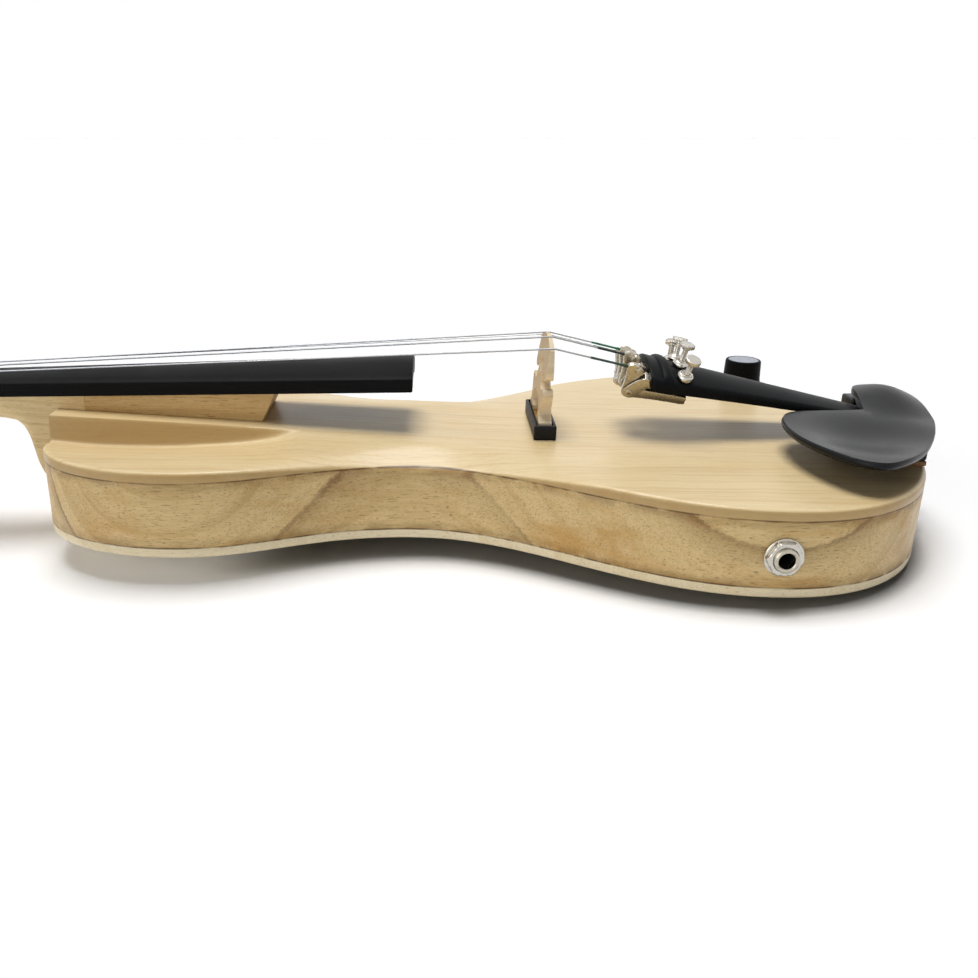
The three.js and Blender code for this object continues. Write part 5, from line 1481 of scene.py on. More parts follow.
@dataclass
class Bridge(SubAssembly):
    """Bridge with its kidney cut-outs and heart, standing in the pickup tray.

    base and edge are its thickness at the feet and the crest. The shares are an outline from the outer foot
    to the crest, half of the arch between the feet and half of the heart. tray is the tray's half length and
    half width, and the heights of its floor and top.
    """

    half: float = 20.75
    sole: float = 41.3
    crest: float = 78.9
    base: float = 5.8
    edge: float = 1.5
    arch: float = 40.0
    crest_end_share: float = 0.87
    side_shares: tuple[Flat, ...] = ((0.99, 0.05), (0.82, 0.12), (0.8, 0.21), (0.92, 0.32), (0.98, 0.38),
        (0.9, 0.44), (0.7, 0.42), (0.52, 0.41), (0.38, 0.48), (0.4, 0.58), (0.54, 0.6), (0.64, 0.54),
        (0.78, 0.53), (0.91, 0.58), (0.93, 0.68), (0.89, 0.8))
    arch_shares: tuple[Flat, ...] = ((0.45, 0.05), (0.56, 0.12), (0.55, 0.2), (0.42, 0.27), (0.26, 0.31),
        (0.1, 0.3), (0.0, 0.27))
    heart_shares: tuple[Flat, ...] = ((0.0, 0.52), (0.09, 0.58), (0.17, 0.66), (0.15, 0.73), (0.07, 0.74))
    tray: tuple[float, ...] = (23.0, 5.0, 40.6, 42.5)
    tray_wall: float = 1.2

    def crest_at(self, y: float) -> float:
        """Height of the crest."""
        return self.crest - y * y / (2 * self.arch)

    def outline(self) -> list[Flat]:
        """Smooth outline of the bridge, counter-clockwise, with a shallow notch for each string."""
        high = self.crest - self.sole

        def scaled(shares: tuple[Flat, ...]) -> list[Flat]:
            """Shares in millimetres."""
            return [(y * self.half, z * high) for y, z in shares]

        side = smooth_line(scaled(self.side_shares), 5)
        arch = smooth_line(scaled(self.arch_shares), 5)
        top = []
        end = self.crest_end_share * self.half
        for y in spread(end, 0, 60):
            notch = sum(max(0.0, 0.45 - abs(y - abs(s.lane) / 3 * BRIDGE_SPREAD)) for s in STRINGS
                if s.lane > 0)
            top.append((y, self.crest_at(y) - self.sole - 0.6 * notch))
        half = [(self.half, 0.0)] + side + top
        foot = (0.44 * self.half, 0.0)
        mirrored = [(-y, z) for y, z in reversed(half[:-1])]
        inner = [(-foot[0], 0.0)] + [(-y, z) for y, z in arch[:-1]] + list(reversed(arch)) + [foot]
        return half + mirrored + inner

    def make_bridge(self) -> Piece:
        """Plank that thins to the crest on its neck side, cut to the outline."""
        high = self.crest - self.sole
        front = [(self.base / 2 - lerp(self.base, self.edge, ease(z / high / 1.2)), z + self.sole)
            for z in spread(-1, high + 1, 24)]
        back = [(self.base / 2, z + self.sole) for z in spread(high + 1, -1, 5)]
        reach = self.half + 2
        piece = loft([[(x, y, z) for x, z in front + back] for y in (-reach, reach)]).piece("bridge_carved")
        to_side = Matrix(((0, 0, 1, 0), (1, 0, 0, 0), (0, 1, 0, self.sole), (0, 0, 0, 1)))
        combine(piece, [prism(self.outline(), -10, 10).moved(to_side)], "INTERSECT", 30)
        heart = smooth_line([(y * self.half, z * high) for y, z in self.heart_shares], 5)
        right = heart + [(0.0, 0.7 * high)]
        left = [(-y, z) for y, z in reversed(right[1:-1])]
        combine(piece, [prism(right + left, -10, 10).moved(to_side)], "DIFFERENCE", 30)
        return piece

    def make_tray(self) -> Piece:
        """Pickup tray with a groove that takes the strip and the bridge's feet."""
        long, half, floor, high = self.tray
        piece = block((-half, -long, SEAT), (half, long, high), 0.8).piece("pickup_tray_moulded")
        room = block((self.tray_wall - half, self.tray_wall - long, floor),
            (half - self.tray_wall, long - self.tray_wall, high + 6), 0.8)
        combine(piece, [room, rod(LEAD_HOLE, 30, high).shifted(0, LEAD_OUT)], "DIFFERENCE")
        return piece

    def build(self) -> None:
        """Makes and dresses the bridge and its pickup."""
        self.dress(self.make_bridge(), Finish.BRIDGE, "bridge")
        self.dress(self.make_tray(), Finish.TRAY, "pickup_tray")
        self.carry("pickup_strip", Finish.PIEZO)
        self.carry("pickup_lead", Finish.LEAD)


@dataclass
class Tailpiece(SubAssembly):
    """Tailpiece with its fret ridge, the gut that ties it and the end button.

    halves, crest and edges give its half width, height and fall, and the depth of its side lips, from the
    string end to the tail. fret is the distance to the fret's middle, its half width and its height. The
    tuners' posts stand tuner_back from the string end, fanned by so many degrees for each lane.
    """

    start: float = 46.0
    length: float = 106.0
    halves: Flat = (21.0, 10.5)
    crest: Flat = (70.2, 23.3)
    arch: float = 35.0
    edges: Flat = (5.0, 2.7)
    wall: float = 2.6
    solid_share: float = 0.9
    fret: Point = (7.8, 2.6, 1.4)
    tuner_back: float = 15.5
    fan: float = 17.4
    gut_radius: float = 1.0
    gut_spread: float = 9.0
    gut_drop: float = 2.6

    def top(self, x: float, y: float) -> float:
        """Height of the arched top."""
        fall = self.crest[1] * (x - self.start) / self.length
        return self.crest[0] - fall - self.arch + sqrt(self.arch ** 2 - y * y)

    def lane(self, lane: float) -> Matrix:
        """Seat of a tuner: its axes run down the slope, across it and up from the arch.

        Args:
            lane: Lane of the string, counted from the middle.

        Returns:
            Turn and place, in millimetres.
        """
        turn = radians(lane * self.fan)
        tilt = atan(self.crest[1] / self.length)
        slope = Vector((cos(tilt), 0, -sin(tilt)))
        square = Vector((tan(tilt), tan(turn), 1)).normalized()
        across = square.cross(slope)
        seat = Vector((self.start + self.tuner_back, self.arch * sin(turn), 0))
        seat.z = self.top(seat.x, seat.y)
        matrix = Matrix((slope, across, square)).transposed().to_4x4()
        matrix.translation = seat
        return matrix

    def section(self, share: float, inward: float) -> list[Point]:
        """Ring across the tailpiece, hollow below.

        Args:
            share: Place along it.
            inward: How far the ring is shrunk, for the rounded ends.

        Returns:
            The ring.
        """
        plan = [(0, 0.93), (0.012, 0.97), (0.03, 1), (0.9, 1), (0.94, 0.975), (0.965, 0.92), (0.985, 0.83),
            (1, 0.68)]
        x = self.start + self.length * share
        half = lerp(*self.halves, share) * through(plan, share)
        low = self.top(x, half) - lerp(*self.edges, share)
        soft = min(1.5, half / 4)
        over = [(-half, low + 0.6), (-half, self.top(x, half) - soft)]
        for t in spread(0.15, 1, 5):
            y = half - soft * (1 - cos(t * pi / 2)) * 0.8
            over.append((-y, self.top(x, y) - soft * (1 - sin(t * pi / 2))))
        flat = abs(over[-1][0])
        over += [(y, self.top(x, y)) for y in spread(-flat, flat, 25)[1:-1]]
        over += [(-y, z) for y, z in reversed(over[:7])]
        lip = half - self.wall
        solid = ease((share - self.solid_share + 0.04) / 0.05)
        under = [(half - 0.5, low), (lip + 0.3, low)]
        for y in spread(lip, -lip, 21):
            roof = self.top(x, y) - self.wall
            edge = clamp((lip - abs(y)) / 1.2) ** 0.5
            under.append((y, lerp(lerp(low, roof, edge), low + 0.02, solid)))
        under += [(-lip - 0.3, low), (-half + 0.5, low)]
        middle = Vector((0.0, (self.top(x, 0) + low) / 2))
        ring = []
        for y, z in over + under:
            pull = Vector((y, z)) - middle
            spot = middle + pull * (1 - inward / max(pull.length, inward + 0.1))
            ring.append((x, spot.x, spot.y))
        return ring

    def make_tailpiece(self) -> Piece:
        """Arched shell with rounded ends, a fret ridge and holes for posts and gut."""
        soft = 0.9 / self.length
        turns = [radians(a) for a in (0, 30, 60, 90)]
        stations = [(soft * (1 - cos(t)), 0.9 * (1 - sin(t))) for t in turns]
        stations += [(s, 0.0) for s in (0.02, 0.03, 0.06, 0.12, 0.25, 0.4, 0.55, 0.7, 0.8, 0.84, 0.86,
            0.875, 0.89, 0.9, 0.91, 0.93, 0.945, 0.96, 0.972, 0.983)]
        stations += [(1 - soft * (1 - cos(t)), 0.9 * (1 - sin(t))) for t in reversed(turns)]
        piece = loft([self.section(*s) for s in stations]).piece("tailpiece_moulded", 40)
        back, half_wide, high = self.fret
        rings = []
        reach = self.halves[0] - 0.9
        for y in spread(-reach, reach, 41):
            low = clamp((reach - abs(y)) / 2.2) ** 0.5
            ring = []
            for t in spread(0, pi, 13):
                x = self.start + back + half_wide * cos(t)
                ring.append((x, y, self.top(x, y) + high * low * sin(t) - 0.02))
            ring += [(self.start + back - half_wide, y, self.top(self.start + back, y) - 1.2),
                (self.start + back + half_wide, y, self.top(self.start + back, y) - 1.2)]
            rings.append(ring)
        combine(piece, [loft(rings)], "UNION", 40)
        holes = [rod(2.8, -8, 6).moved(self.lane(spec.lane)) for spec in STRINGS]
        end = self.start + self.length
        for side in (-1, 1):
            holes.append(rod(self.gut_radius + 0.25, -26, 5).spun("Y", 90).shifted(end,
                side * self.gut_spread / 2, self.top(end, 0) - self.gut_drop))
        combine(piece, holes, "DIFFERENCE", 40)
        return piece

    def make_gut(self) -> Piece:
        """One run of gut from hole to hole, over the saddle and round the button."""
        end = self.start + self.length
        at = TAIL + 0.3 + 2.5 + 1.8
        loop = 4.2 + 0.15 + self.gut_radius
        high = self.top(end, 0) - self.gut_drop

        def run(side: int) -> list[Point]:
            """Half of the gut, from its hole to the button."""
            near = side * self.gut_spread / 2
            return [(end - 14, near, high + 1.6), (end - 3.5, near, high), (end + 3, near, high - 1.2),
                (161.5, near, 42.2), (164, near, 41.95), (166.6, near, 41.1), (168.7, near, 38.8),
                (169.8, near, 34.5), (171.4, side * (loop + 0.3), 26), (at, side * (loop + 0.1), 19)]

        turn = [(at, loop * cos(a), BUTTON_AT + loop * sin(a)) for a in spread(pi * 1.02, pi * 1.98, 13)]
        line = smooth_line(run(-1) + turn + list(reversed(run(1))), 5)
        return tube(line, self.gut_radius, 14).piece("tailgut_run", 50)

    def make_button(self) -> Piece:
        """Turned end button with a groove for the gut."""
        profile = [(0, -15.7), (3.2, -15.7), (3.7, -15.2), (3.7, 0.3), (6.4, 0.3), (7, 0.7), (7, 2.2),
            (6.4, 2.8), (4.5, 3.0), (4.2, 3.6), (4.2, 5.6), (4.5, 6.2), (6.6, 6.5), (7.4, 7.4), (7.5, 9.2),
            (7.2, 11.0), (6.3, 12.8), (4.6, 14.2), (2.4, 14.9), (0.9, 15.0), (0, 15.0)]
        form = lathe(rounded(profile, 0.5, 3), 56).spun("Y", 90)
        return form.shifted(TAIL, 0, BUTTON_AT).piece("end_button_turned", 40)

    def build(self) -> None:
        """Makes and dresses the three pieces."""
        self.dress(self.make_tailpiece(), Finish.PLASTIC, "tailpiece")
        self.dress(self.make_gut(), Finish.GUT, "tailgut")
        self.dress(self.make_button(), Finish.EBONY, "end_button")


@dataclass
class FineTuner(SubAssembly):
    """One fine tuner: bracket, round nut, screw and lever with the string's ball end.

    The pivot lies arm back from the post and drop below the tailpiece's top, and the hook rises over it by
    rise. post is the radius, foot and top of the threaded post, screw its radius, tip and length under the
    head. The shares are side views round the pivot, in arms and rises.
    """

    tailpiece: Tailpiece
    arm: float = 21.5
    drop: float = 13.0
    rise: float = 12.5
    post: Point = (2.5, -7.6, 3.1)
    screw: Point = (1.3, -8.9, 9.2)
    head: Flat = (3.4, 1.9)
    lever_half: float = 1.25
    cheek: Flat = (1.6, 2.5)
    lever_shares: tuple[Flat, ...] = ((1.2, 0.28), (1.22, 0.12), (1.2, -0.02), (0.9, -0.075), (0.6, -0.12),
        (0.3, -0.19), (0.12, -0.24), (-0.04, -0.24), (-0.13, -0.14), (-0.15, 0.1), (-0.165, 0.5),
        (-0.2, 0.8), (-0.225, 0.97), (-0.2, 1.1), (-0.11, 1.16), (0.0, 1.12), (0.075, 0.98), (0.1, 0.78),
        (0.1, 0.5), (0.13, 0.28), (0.26, 0.2), (0.45, 0.21), (0.7, 0.24), (1.0, 0.27))
    cheek_shares: tuple[Flat, ...] = ((0.78, 0.74), (0.5, 0.75), (0.26, 0.76), (0.1, 0.66), (-0.02, 0.42),
        (-0.1, 0.22), (-0.14, 0.04), (-0.12, -0.12), (-0.03, -0.21), (0.08, -0.2), (0.16, -0.08),
        (0.22, 0.12), (0.32, 0.34), (0.5, 0.48), (0.78, 0.52))

    def plate(self, shares: tuple[Flat, ...], low: float, high: float, edge: float) -> Form:
        """Plate in the side view, its outline smooth and its rims rounded.

        Args:
            shares: Side view in arms and rises.
            low, high: Places of its two faces across.
            edge: Radius of the rims.

        Returns:
            The plate on the tuner's own axes.
        """
        outline = turned(smooth_line([(u * self.arm - self.arm, w * self.rise - self.drop) for u,
            w in shares], 4, closed=True))
        upright = Matrix(((1, 0, 0, 0), (0, 0, -1, 0), (0, 1, 0, 0), (0, 0, 0, 1)))
        return prism(outline, low, high, edge).moved(upright)

    def bracket(self) -> Form:
        """Cheeks, pivot rivet, base plate and threaded post."""
        inner, outer = self.cheek
        pin = rod(1.1, -outer - 0.45, outer + 0.45, 0.3, 24).spun("X", 90).shifted(-self.arm, 0, -self.drop)
        heads = [rod(1.75, middle - 0.35, middle + 0.35, 0.3, 24).spun("X", 90).shifted(-self.arm, 0,
            -self.drop) for middle in (-outer - 0.1, outer + 0.1)]
        base = block((-0.8 * self.arm, -2.7, -4.3), (3.4, 2.7, -3.2), 0.5)
        radius, low, high = self.post
        post = self.threaded(radius, low, high, 0.6, 1.55)
        cheeks = [self.plate(self.cheek_shares, *span, 0.3) for span in ((-outer, -inner), (inner, outer))]
        return base.added(post, pin, *heads, *cheeks)

    @staticmethod
    def threaded(radius: float, low: float, high: float, pitch: float, bore: float = 0.0) -> Form:
        """Rod about Z with a fine thread cut as rings.

        Args:
            radius: Outer radius.
            low, high: Heights of its ends.
            pitch: Distance between two ridges.
            bore: Radius of the hole through it, or 0.

        Returns:
            The rod.
        """
        count = max(2, round((high - low) / pitch))
        profile = [(bore, low), (radius - 0.25, low)]
        for i in range(count):
            z = lerp(low + 0.15, high - 0.15, i / count)
            step = (high - low - 0.3) / count
            profile += [(radius - 0.18, z), (radius, z + 0.35 * step), (radius, z + 0.6 * step)]
        profile += [(radius - 0.18, high - 0.15), (radius - 0.3, high), (bore, high)]
        if bore:
            profile.append(profile[0])
        return lathe(profile, 32)

    def nut(self) -> Form:
        """Round nut, domed to its post."""
        return lathe([(2.7, 0.3), (3.3, 0.3), (3.7, 0.6), (3.75, 1.2), (3.6, 1.75), (3.3, 2.2), (3.0, 2.55),
            (2.7, 2.7), (2.62, 2.6), (2.62, 0.4), (2.7, 0.3)], 48)

    def screw_form(self) -> Form:
        """Screw with a thin round head whose rim is milled."""
        radius, tip, reach = self.screw
        wide, thick = self.head
        shank = self.threaded(radius, tip, reach + 0.2, 0.45)
        flange = lathe(rounded([(0, reach - 0.9), (1.9, reach - 0.9), (1.9, reach + 0.1), (0, reach + 0.1)],
            0.3), 32)
        rings = []
        for inward, z in ((1.6, 0.0), (0.35, 0.0), (0.08, 0.12), (0.0, 0.35), (0.0, thick - 0.35),
                (0.08, thick - 0.12), (0.4, thick), (1.5, thick - 0.12)):
            mill = 0.07 if inward < 0.3 else 0.0
            rings.append(circle(lambda a: wide - inward + mill * cos(32 * a), reach + z, 96))
        return shank.added(flange, loft(rings))

    def lever(self) -> Form:
        """Lever with a forked hook that holds the string's ball."""
        plate = self.plate(self.lever_shares, -self.lever_half, self.lever_half, 0.25)
        ball_u, ball_w = -0.045 * self.arm - self.arm + 1.9, 0.93 * self.rise - self.drop
        drum = rod(1.55, -2.1, 2.1, 0.25, 32).spun("X", 90).shifted(ball_u, 0, ball_w)
        coils = [tube([(ball_u + 1.75 * cos(a), v, ball_w + 1.75 * sin(a))
            for a in spread(0, FULL_TURN * 0.97, 25)], 0.32, 8) for v in (-1.5, 1.5)]
        return plate.added(drum, *coils)

    def build(self, spec: StringSpec) -> None:
        """Makes and dresses the tuner of one string."""
        seat = self.tailpiece.lane(spec.lane)
        for kind, form, look, finish in (("bracket", self.bracket(), "formed", Finish.NICKEL_WARM),
                ("nut", self.nut(), "domed", Finish.NICKEL), ("lever", self.lever(), "hooked",
                Finish.NICKEL_WARM), ("screw", self.screw_form(), "milled", Finish.NICKEL)):
            node = f"tuner_{kind}_{spec.name}"
            self.dress(form.moved(seat).piece(f"{node}_{look}", 34), finish, node, node
                if kind in ("lever", "screw") else "root")


@dataclass
class Strings(SubAssembly):
    """Four strings from the pegs over nut and bridge to the tuners' hooks."""

    pegs: Pegs
    board: Board
    bridge: Bridge
    tailpiece: Tailpiece

    def crossing(self, spec: StringSpec) -> tuple[Vector, Vector]:
        """Points where a string leaves the nut and meets the bridge."""
        nut_y = spec.lane / 3 * NUT_SPREAD
        nut = Vector((self.board.nut_at, nut_y, self.board.nut_top(nut_y) - 0.15 + spec.radius))
        crest_y = spec.lane / 3 * BRIDGE_SPREAD
        crest = Vector((self.bridge.base / 2 - self.bridge.edge, crest_y, self.bridge.crest_at(crest_y)
            - 0.2 + spec.radius))
        return nut, crest

    def build(self) -> None:
        """Makes and dresses the runs of each string."""
        for spec in STRINGS:
            nut, crest = self.crossing(spec)
            start = self.pegs.winding(spec)[0]
            behind = nut - Vector((2.6, 0, 0.05))
            lead = [(start[0] + 0.3, start[1], start[2]), nut - Vector((5.0, 0, 0.9)), behind]
            self.dress(tube(lead, spec.radius, 12).piece(f"string_{spec.name}_peg_run", 50), spec.silk)
            over = crest + Vector((self.bridge.edge + 0.3, 0, 0.0))
            run = tube([behind, nut, crest, over], spec.radius, 12)
            self.dress(run.piece(f"string_{spec.name}_speaking", 50), spec.finish, f"string_{spec.name}")
            self.back_run(spec, over)

    def back_run(self, spec: StringSpec, over: Vector) -> None:
        """Bare run behind the bridge and the silk that ends on the ball.

        Args:
            spec: The string.
            over: Where it leaves the bridge.
        """
        hook = self.tailpiece.lane(spec.lane) @ Vector((-22.2, 0, -0.6))
        share = (spec.silk_start - over.x) / (hook.x - over.x)
        silk = over.lerp(hook, share)
        count = 26
        line = [silk.lerp(hook, i / count) for i in range(count + 1)]
        swell = [spec.radius + 0.12 + 0.2 * ease((i / count - 0.62) / 0.12) for i in range(count + 1)]
        for form, name, finish in ((tube([over, silk], spec.radius, 12), "behind", spec.finish),
                (tube(line, swell, 14), "silk", spec.silk)):
            piece = form.piece(f"string_{spec.name}_{name}", 50)
            self.coat(piece, finish)
            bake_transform(piece)


@dataclass
class Controls(SubAssembly):
    """Volume knob and output jack.

    knob is its place along and across and its floor, knob_sizes the radii of skirt and top and the height,
    and jack_out the distance of the jack's seat from the middle.
    """

    plan: BodyPlan
    knob: Point = (*KNOB_AT, 36.8)
    knob_sizes: Point = (12.0, 9.5, 14.6)
    jack: Flat = JACK_AT
    jack_out: float = 104.8

    def make_knob(self) -> tuple[Piece, Piece]:
        """Knob with a flared skirt, and the metal disc let into its top."""
        along, out, floor = self.knob
        skirt, top, high = self.knob_sizes
        profile = [(3.2, high - 2.0), (3.2, 5.4), (8.4, 5.4), (8.4, 0.2), (8.6, 0.0), (skirt - 0.3, 0.0),
            (skirt, 0.25), (skirt, 1.0), (skirt - 0.25, 1.45), (skirt - 1.1, 1.95), (skirt - 1.75, 2.6),
            (skirt - 2.1, 3.5), (top + 0.25, 5.0), (top - 0.05, high - 1.1), (top - 0.2, high - 0.45),
            (top - 0.6, high - 0.08), (top - 1.0, high), (top - 1.35, high - 0.05),
            (top - 1.45, high - 0.45), (0, high - 0.45)]
        shell = lathe([(0, high - 2.0)] + profile, 96)
        knob = shell.shifted(along, out, floor).piece("volume_knob_turned", 38)
        disc = lathe([(0, high - 1.0), (top - 1.5, high - 1.0), (top - 1.5, high - 0.2),
            (top - 1.75, high - 0.06), (4.0, high - 0.03), (0, high - 0.02)], 96)
        return knob, disc.shifted(along, out, floor).piece("volume_knob_insert", 38)

    def hexagon(self, flats: float, low: float, high: float, bore: float) -> Form:
        """Hexagon nut about Z with turned-off corners and a bore.

        Args:
            flats: Width across the flats.
            low, high: Heights of its faces.
            bore: Radius of its hole.

        Returns:
            The nut.
        """
        half = flats / 2
        levels = ((0.97, low), (1.06, low + 0.3), (1.2, low + 0.7), (1.2, high - 0.7), (1.06, high - 0.3),
            (0.97, high))
        rings = [circle(lambda a: min(half / cos(a % (pi / 3) - pi / 6), half * limit), z, 96) for limit,
            z in levels]
        foot = circle(bore, low + 0.01, 96)
        return loft([foot] + rings + [circle(bore, high - 0.01, 96), foot], capped=False)

    def make_jack(self) -> list[tuple[Piece, Finish, str]]:
        """Jack barrel, a black sleeve of painted shade inside its socket, washer and nut."""
        along, height = self.jack
        face = self.plan.half(along)
        shoulder = self.jack_out - face + JACK_WALL + 0.3
        barrel = [(0, -24.5), (3.2, -24.5), (3.2, 4.1), (3.5, 4.4), (4.3, 4.4)]
        steps = 12
        for i in range(steps):
            z = lerp(4.1, -1.0, i / steps)
            barrel += [(4.75, z), (4.75, z - 0.2), (4.58, z - 0.32)]
        barrel += [(4.75, -1.2), (4.75, -shoulder), (6.4, -shoulder), (6.4, -shoulder - 2.2),
            (5.6, -shoulder - 2.3), (5.6, -shoulder - 25.6), (5.2, -shoulder - 26), (0, -shoulder - 26)]
        washer = [(5.05, 0.02), (7.3, 0.02), (7.6, 0.25), (7.6, 0.6), (7.3, 0.8), (5.05, 0.8), (5.05, 0.02)]
        # Black sleeve inside the socket: painted shade where the bore lies in shadow.
        shade_sleeve = [(0, -24.4), (3.12, -24.4), (3.12, 1.5), (2.9, 1.6), (2.9, -24), (0, -24)]
        forms = [(lathe(barrel, 64), "jack_barrel_threaded", Finish.NICKEL_WARM, "jack_body"),
            (lathe(shade_sleeve, 64), "jack_socket_painted_shade", Finish.SHADE, ""),
            (lathe(washer, 64), "jack_washer_flat", Finish.NICKEL, "jack_washer"),
            (self.hexagon(12.7, 0.85, 3.1, 5.05), "jack_nut_hexagon", Finish.NICKEL, "jack_nut")]
        return [(form.spun("X", 90).shifted(along, -self.jack_out, height).piece(name, 30), finish, node)
            for form, name, finish, node in forms]

    def build(self) -> None:
        """Makes and dresses knob and jack."""
        knob, insert = self.make_knob()
        self.dress(knob, Finish.KNOB, "volume_knob", "volume_knob")
        self.dress(insert, Finish.INSERT, body="volume_knob")
        for piece, finish, node in self.make_jack():
            self.dress(piece, finish, node)
        for node, finish in (("pot_shaft", Finish.STEEL), ("pot_case", Finish.STEEL),
                ("pot_washer", Finish.NICKEL), ("pot_nut", Finish.NICKEL), ("jack_lead", Finish.LEAD)):
            self.carry(node, finish)


@dataclass
class Chinrest(SubAssembly):
    """Chinrest cup on two corked feet, held by a two-post clamp.

    The bowl and the hump over the tailpiece's end fade out over bowl_reach and hump_reach. plan_shares is the
    plan, in lengths of scale. feet holds the ends of both feet across. posts gives the clamp posts' place
    along and across and their radius, barrel a barrel's radius and both ends.
    """

    rim: float = 50.0
    under: float = 43.0
    hump_rise: float = 6.5
    bowl_depth: float = 4.4
    bowl: Flat = (131.0, -50.0)
    hump: Flat = (163.0, 4.0)
    hump_reach: Flat = (23.0, 34.0)
    bowl_reach: float = 36.0
    rim_thick: float = 3.0
    scale: float = 100.0
    plan_shares: tuple[Flat, ...] = ((1.005, -0.4), (1.03, -0.28), (1.1, -0.195), (1.24, -0.165),
        (1.39, -0.15), (1.495, -0.115), (1.53, -0.03), (1.52, 0.07), (1.525, 0.16), (1.555, 0.225),
        (1.61, 0.26), (1.67, 0.25), (1.72, 0.19), (1.75, 0.09), (1.76, -0.04), (1.745, -0.17), (1.71, -0.3),
        (1.64, -0.45), (1.55, -0.6), (1.45, -0.735), (1.34, -0.845), (1.235, -0.905), (1.15, -0.88),
        (1.085, -0.795), (1.035, -0.67), (1.005, -0.53))
    feet: tuple[Flat, Flat] = ((-52.0, -27.0), (13.0, 27.0))
    posts: Point = (172.0, 19.0, 1.5)
    barrel: Point = (3.2, 8.0, 27.0)

    def swell(self, x: float, y: float) -> float:
        """Share of the hump at a place."""
        along, across = self.hump_reach
        return ease(1 - hypot((x - self.hump[0]) / along, (y - self.hump[1]) / across))

    def top(self, x: float, y: float) -> float:
        """Height of the cup's upper surface."""
        dish = ease(1 - dist((x, y), self.bowl) / self.bowl_reach)
        return self.rim + self.hump_rise * self.swell(x, y) - self.bowl_depth * dish

    def make_cup(self) -> Piece:
        """Cup with a thin rounded rim, a bowl, and a hump hollowed for the tailpiece's end."""
        plan = [p * self.scale for p in smooth_line(self.plan_shares, 8, closed=True)]
        middle = Vector((lerp(self.bowl[0], self.hump[0], 1 / 3), lerp(self.bowl[1], self.hump[1], 1 / 3)))
        shares = [0.985, 0.96, 0.92, 0.86, 0.79, 0.7, 0.6, 0.49, 0.37, 0.25, 0.13, 0.03]

        def bottom(x: float, y: float, share: float) -> float:
            """Height of the underside."""
            full = self.top(x, y) - self.under
            thick = lerp(max(full, self.rim_thick), self.rim_thick, ease(self.swell(x, y) * 2))
            return self.top(x, y) - lerp(self.rim_thick, thick, ease((1 - share) / 0.35))

        rings = []
        for share in reversed(shares):
            spots = [middle.lerp(p, share) for p in plan]
            rings.append([(p.x, p.y, bottom(p.x, p.y, share)) for p in spots])
        for turn in spread(-pi / 2, pi / 2, 9)[1:-1]:
            ring = []
            for p in plan:
                spot = p + (middle - p).normalized() * self.rim_thick / 2 * (1 - cos(turn))
                rise = self.rim_thick / 2 * (sin(turn) - 1)
                ring.append((spot.x, spot.y, self.top(spot.x, spot.y) + rise))
            rings.append(ring)
        for share in shares:
            spots = [middle.lerp(p, share) for p in plan]
            rings.append([(p.x, p.y, self.top(p.x, p.y)) for p in spots])
        piece = loft(rings).piece("chinrest_cup", 60)
        feet = [block((152.4, low, 38.1), (159, high, 47.2), 1.6) for low, high in self.feet]
        combine(piece, feet, "UNION", 60)
        recess = block((self.posts[0] - 12.3, -23.3, 39.5), (self.posts[0] + 12, 23.3, 45.6), 0)
        combine(piece, [recess], "DIFFERENCE", 60)
        return piece

    def make_brackets(self) -> list[tuple[Piece, str]]:
        """Top and back brackets, each with two threaded posts."""
        along, out, radius = self.posts
        pieces = []
        for name, low, high, foot, top, collar in (("top", 44.1, 45.3, 19.0, 44.7, (43.0, 44.2)),
                ("back", -2.2, -1.0, -1.6, 16.0, (-1.1, 0.1))):
            plate = block((along - 12, -23, low), (along + 1.5, 23, high), 1.0)
            parts = [FineTuner.threaded(radius, foot, top, 0.7), rod(2.3, *collar, 0.3, 32)]
            placed = [part.shifted(along, side * out) for part in parts for side in (-1, 1)]
            piece = plate.added(*placed).piece(f"clamp_bracket_{name}_formed", 34)
            pieces.append((piece, f"clamp_bracket_{name}"))
        return pieces

    def make_barrel(self, side: Side) -> Piece:
        """Round barrel nut with knurled ends and holes for its key."""
        along, out, _ = self.posts
        radius, low, high = self.barrel
        middle = (low + high) / 2
        levels = [(1.8, low), (radius - 0.45, low), (radius - 0.1, low + 0.3)]
        levels += [(radius, low + 0.7), (radius, low + 4.2), (radius - 0.3, low + 4.6)]
        levels += [(r, 2 * middle - z) for r, z in reversed(levels)]
        levels.append((1.8, low))
        rings = [circle(lambda a: far + (0.08 * cos(24 * a) if far == radius else 0.0), z, 72) for far,
            z in levels]
        piece = loft(rings, capped=False).shifted(along, side.value
            * out).piece(f"clamp_barrel_{side.name.lower()}_knurled", 34)
        keys = [rod(0.9, -6, 6, 0, 24).spun(axis, 90).shifted(along, side.value * out, middle)
            for axis in ("X", "Y")]
        combine(piece, keys, "DIFFERENCE", 34)
        return piece

    def build(self) -> None:
        """Makes and dresses the chinrest."""
        self.dress(self.make_cup(), Finish.CUP, "chinrest")
        for name, (low, high) in zip(("bass", "treble"), self.feet):
            cork = block((151, low, SEAT), (159, high, 38.1), 0.6).piece(f"chinrest_cork_{name}_sheet")
            self.dress(cork, Finish.CORK, f"chinrest_cork_{name}")
        cork = block((self.posts[0] - 12, -23, -0.98), (TAIL - 4, 23, -0.02), 0.3)
        self.dress(cork.piece("clamp_cork_back_sheet"), Finish.CORK, "clamp_cork_back")
        for piece, node in self.make_brackets():
            self.dress(piece, Finish.NICKEL, node)
        for side in Side:
            node = f"clamp_barrel_{side.name.lower()}"
            self.dress(self.make_barrel(side), Finish.NICKEL, node, node)


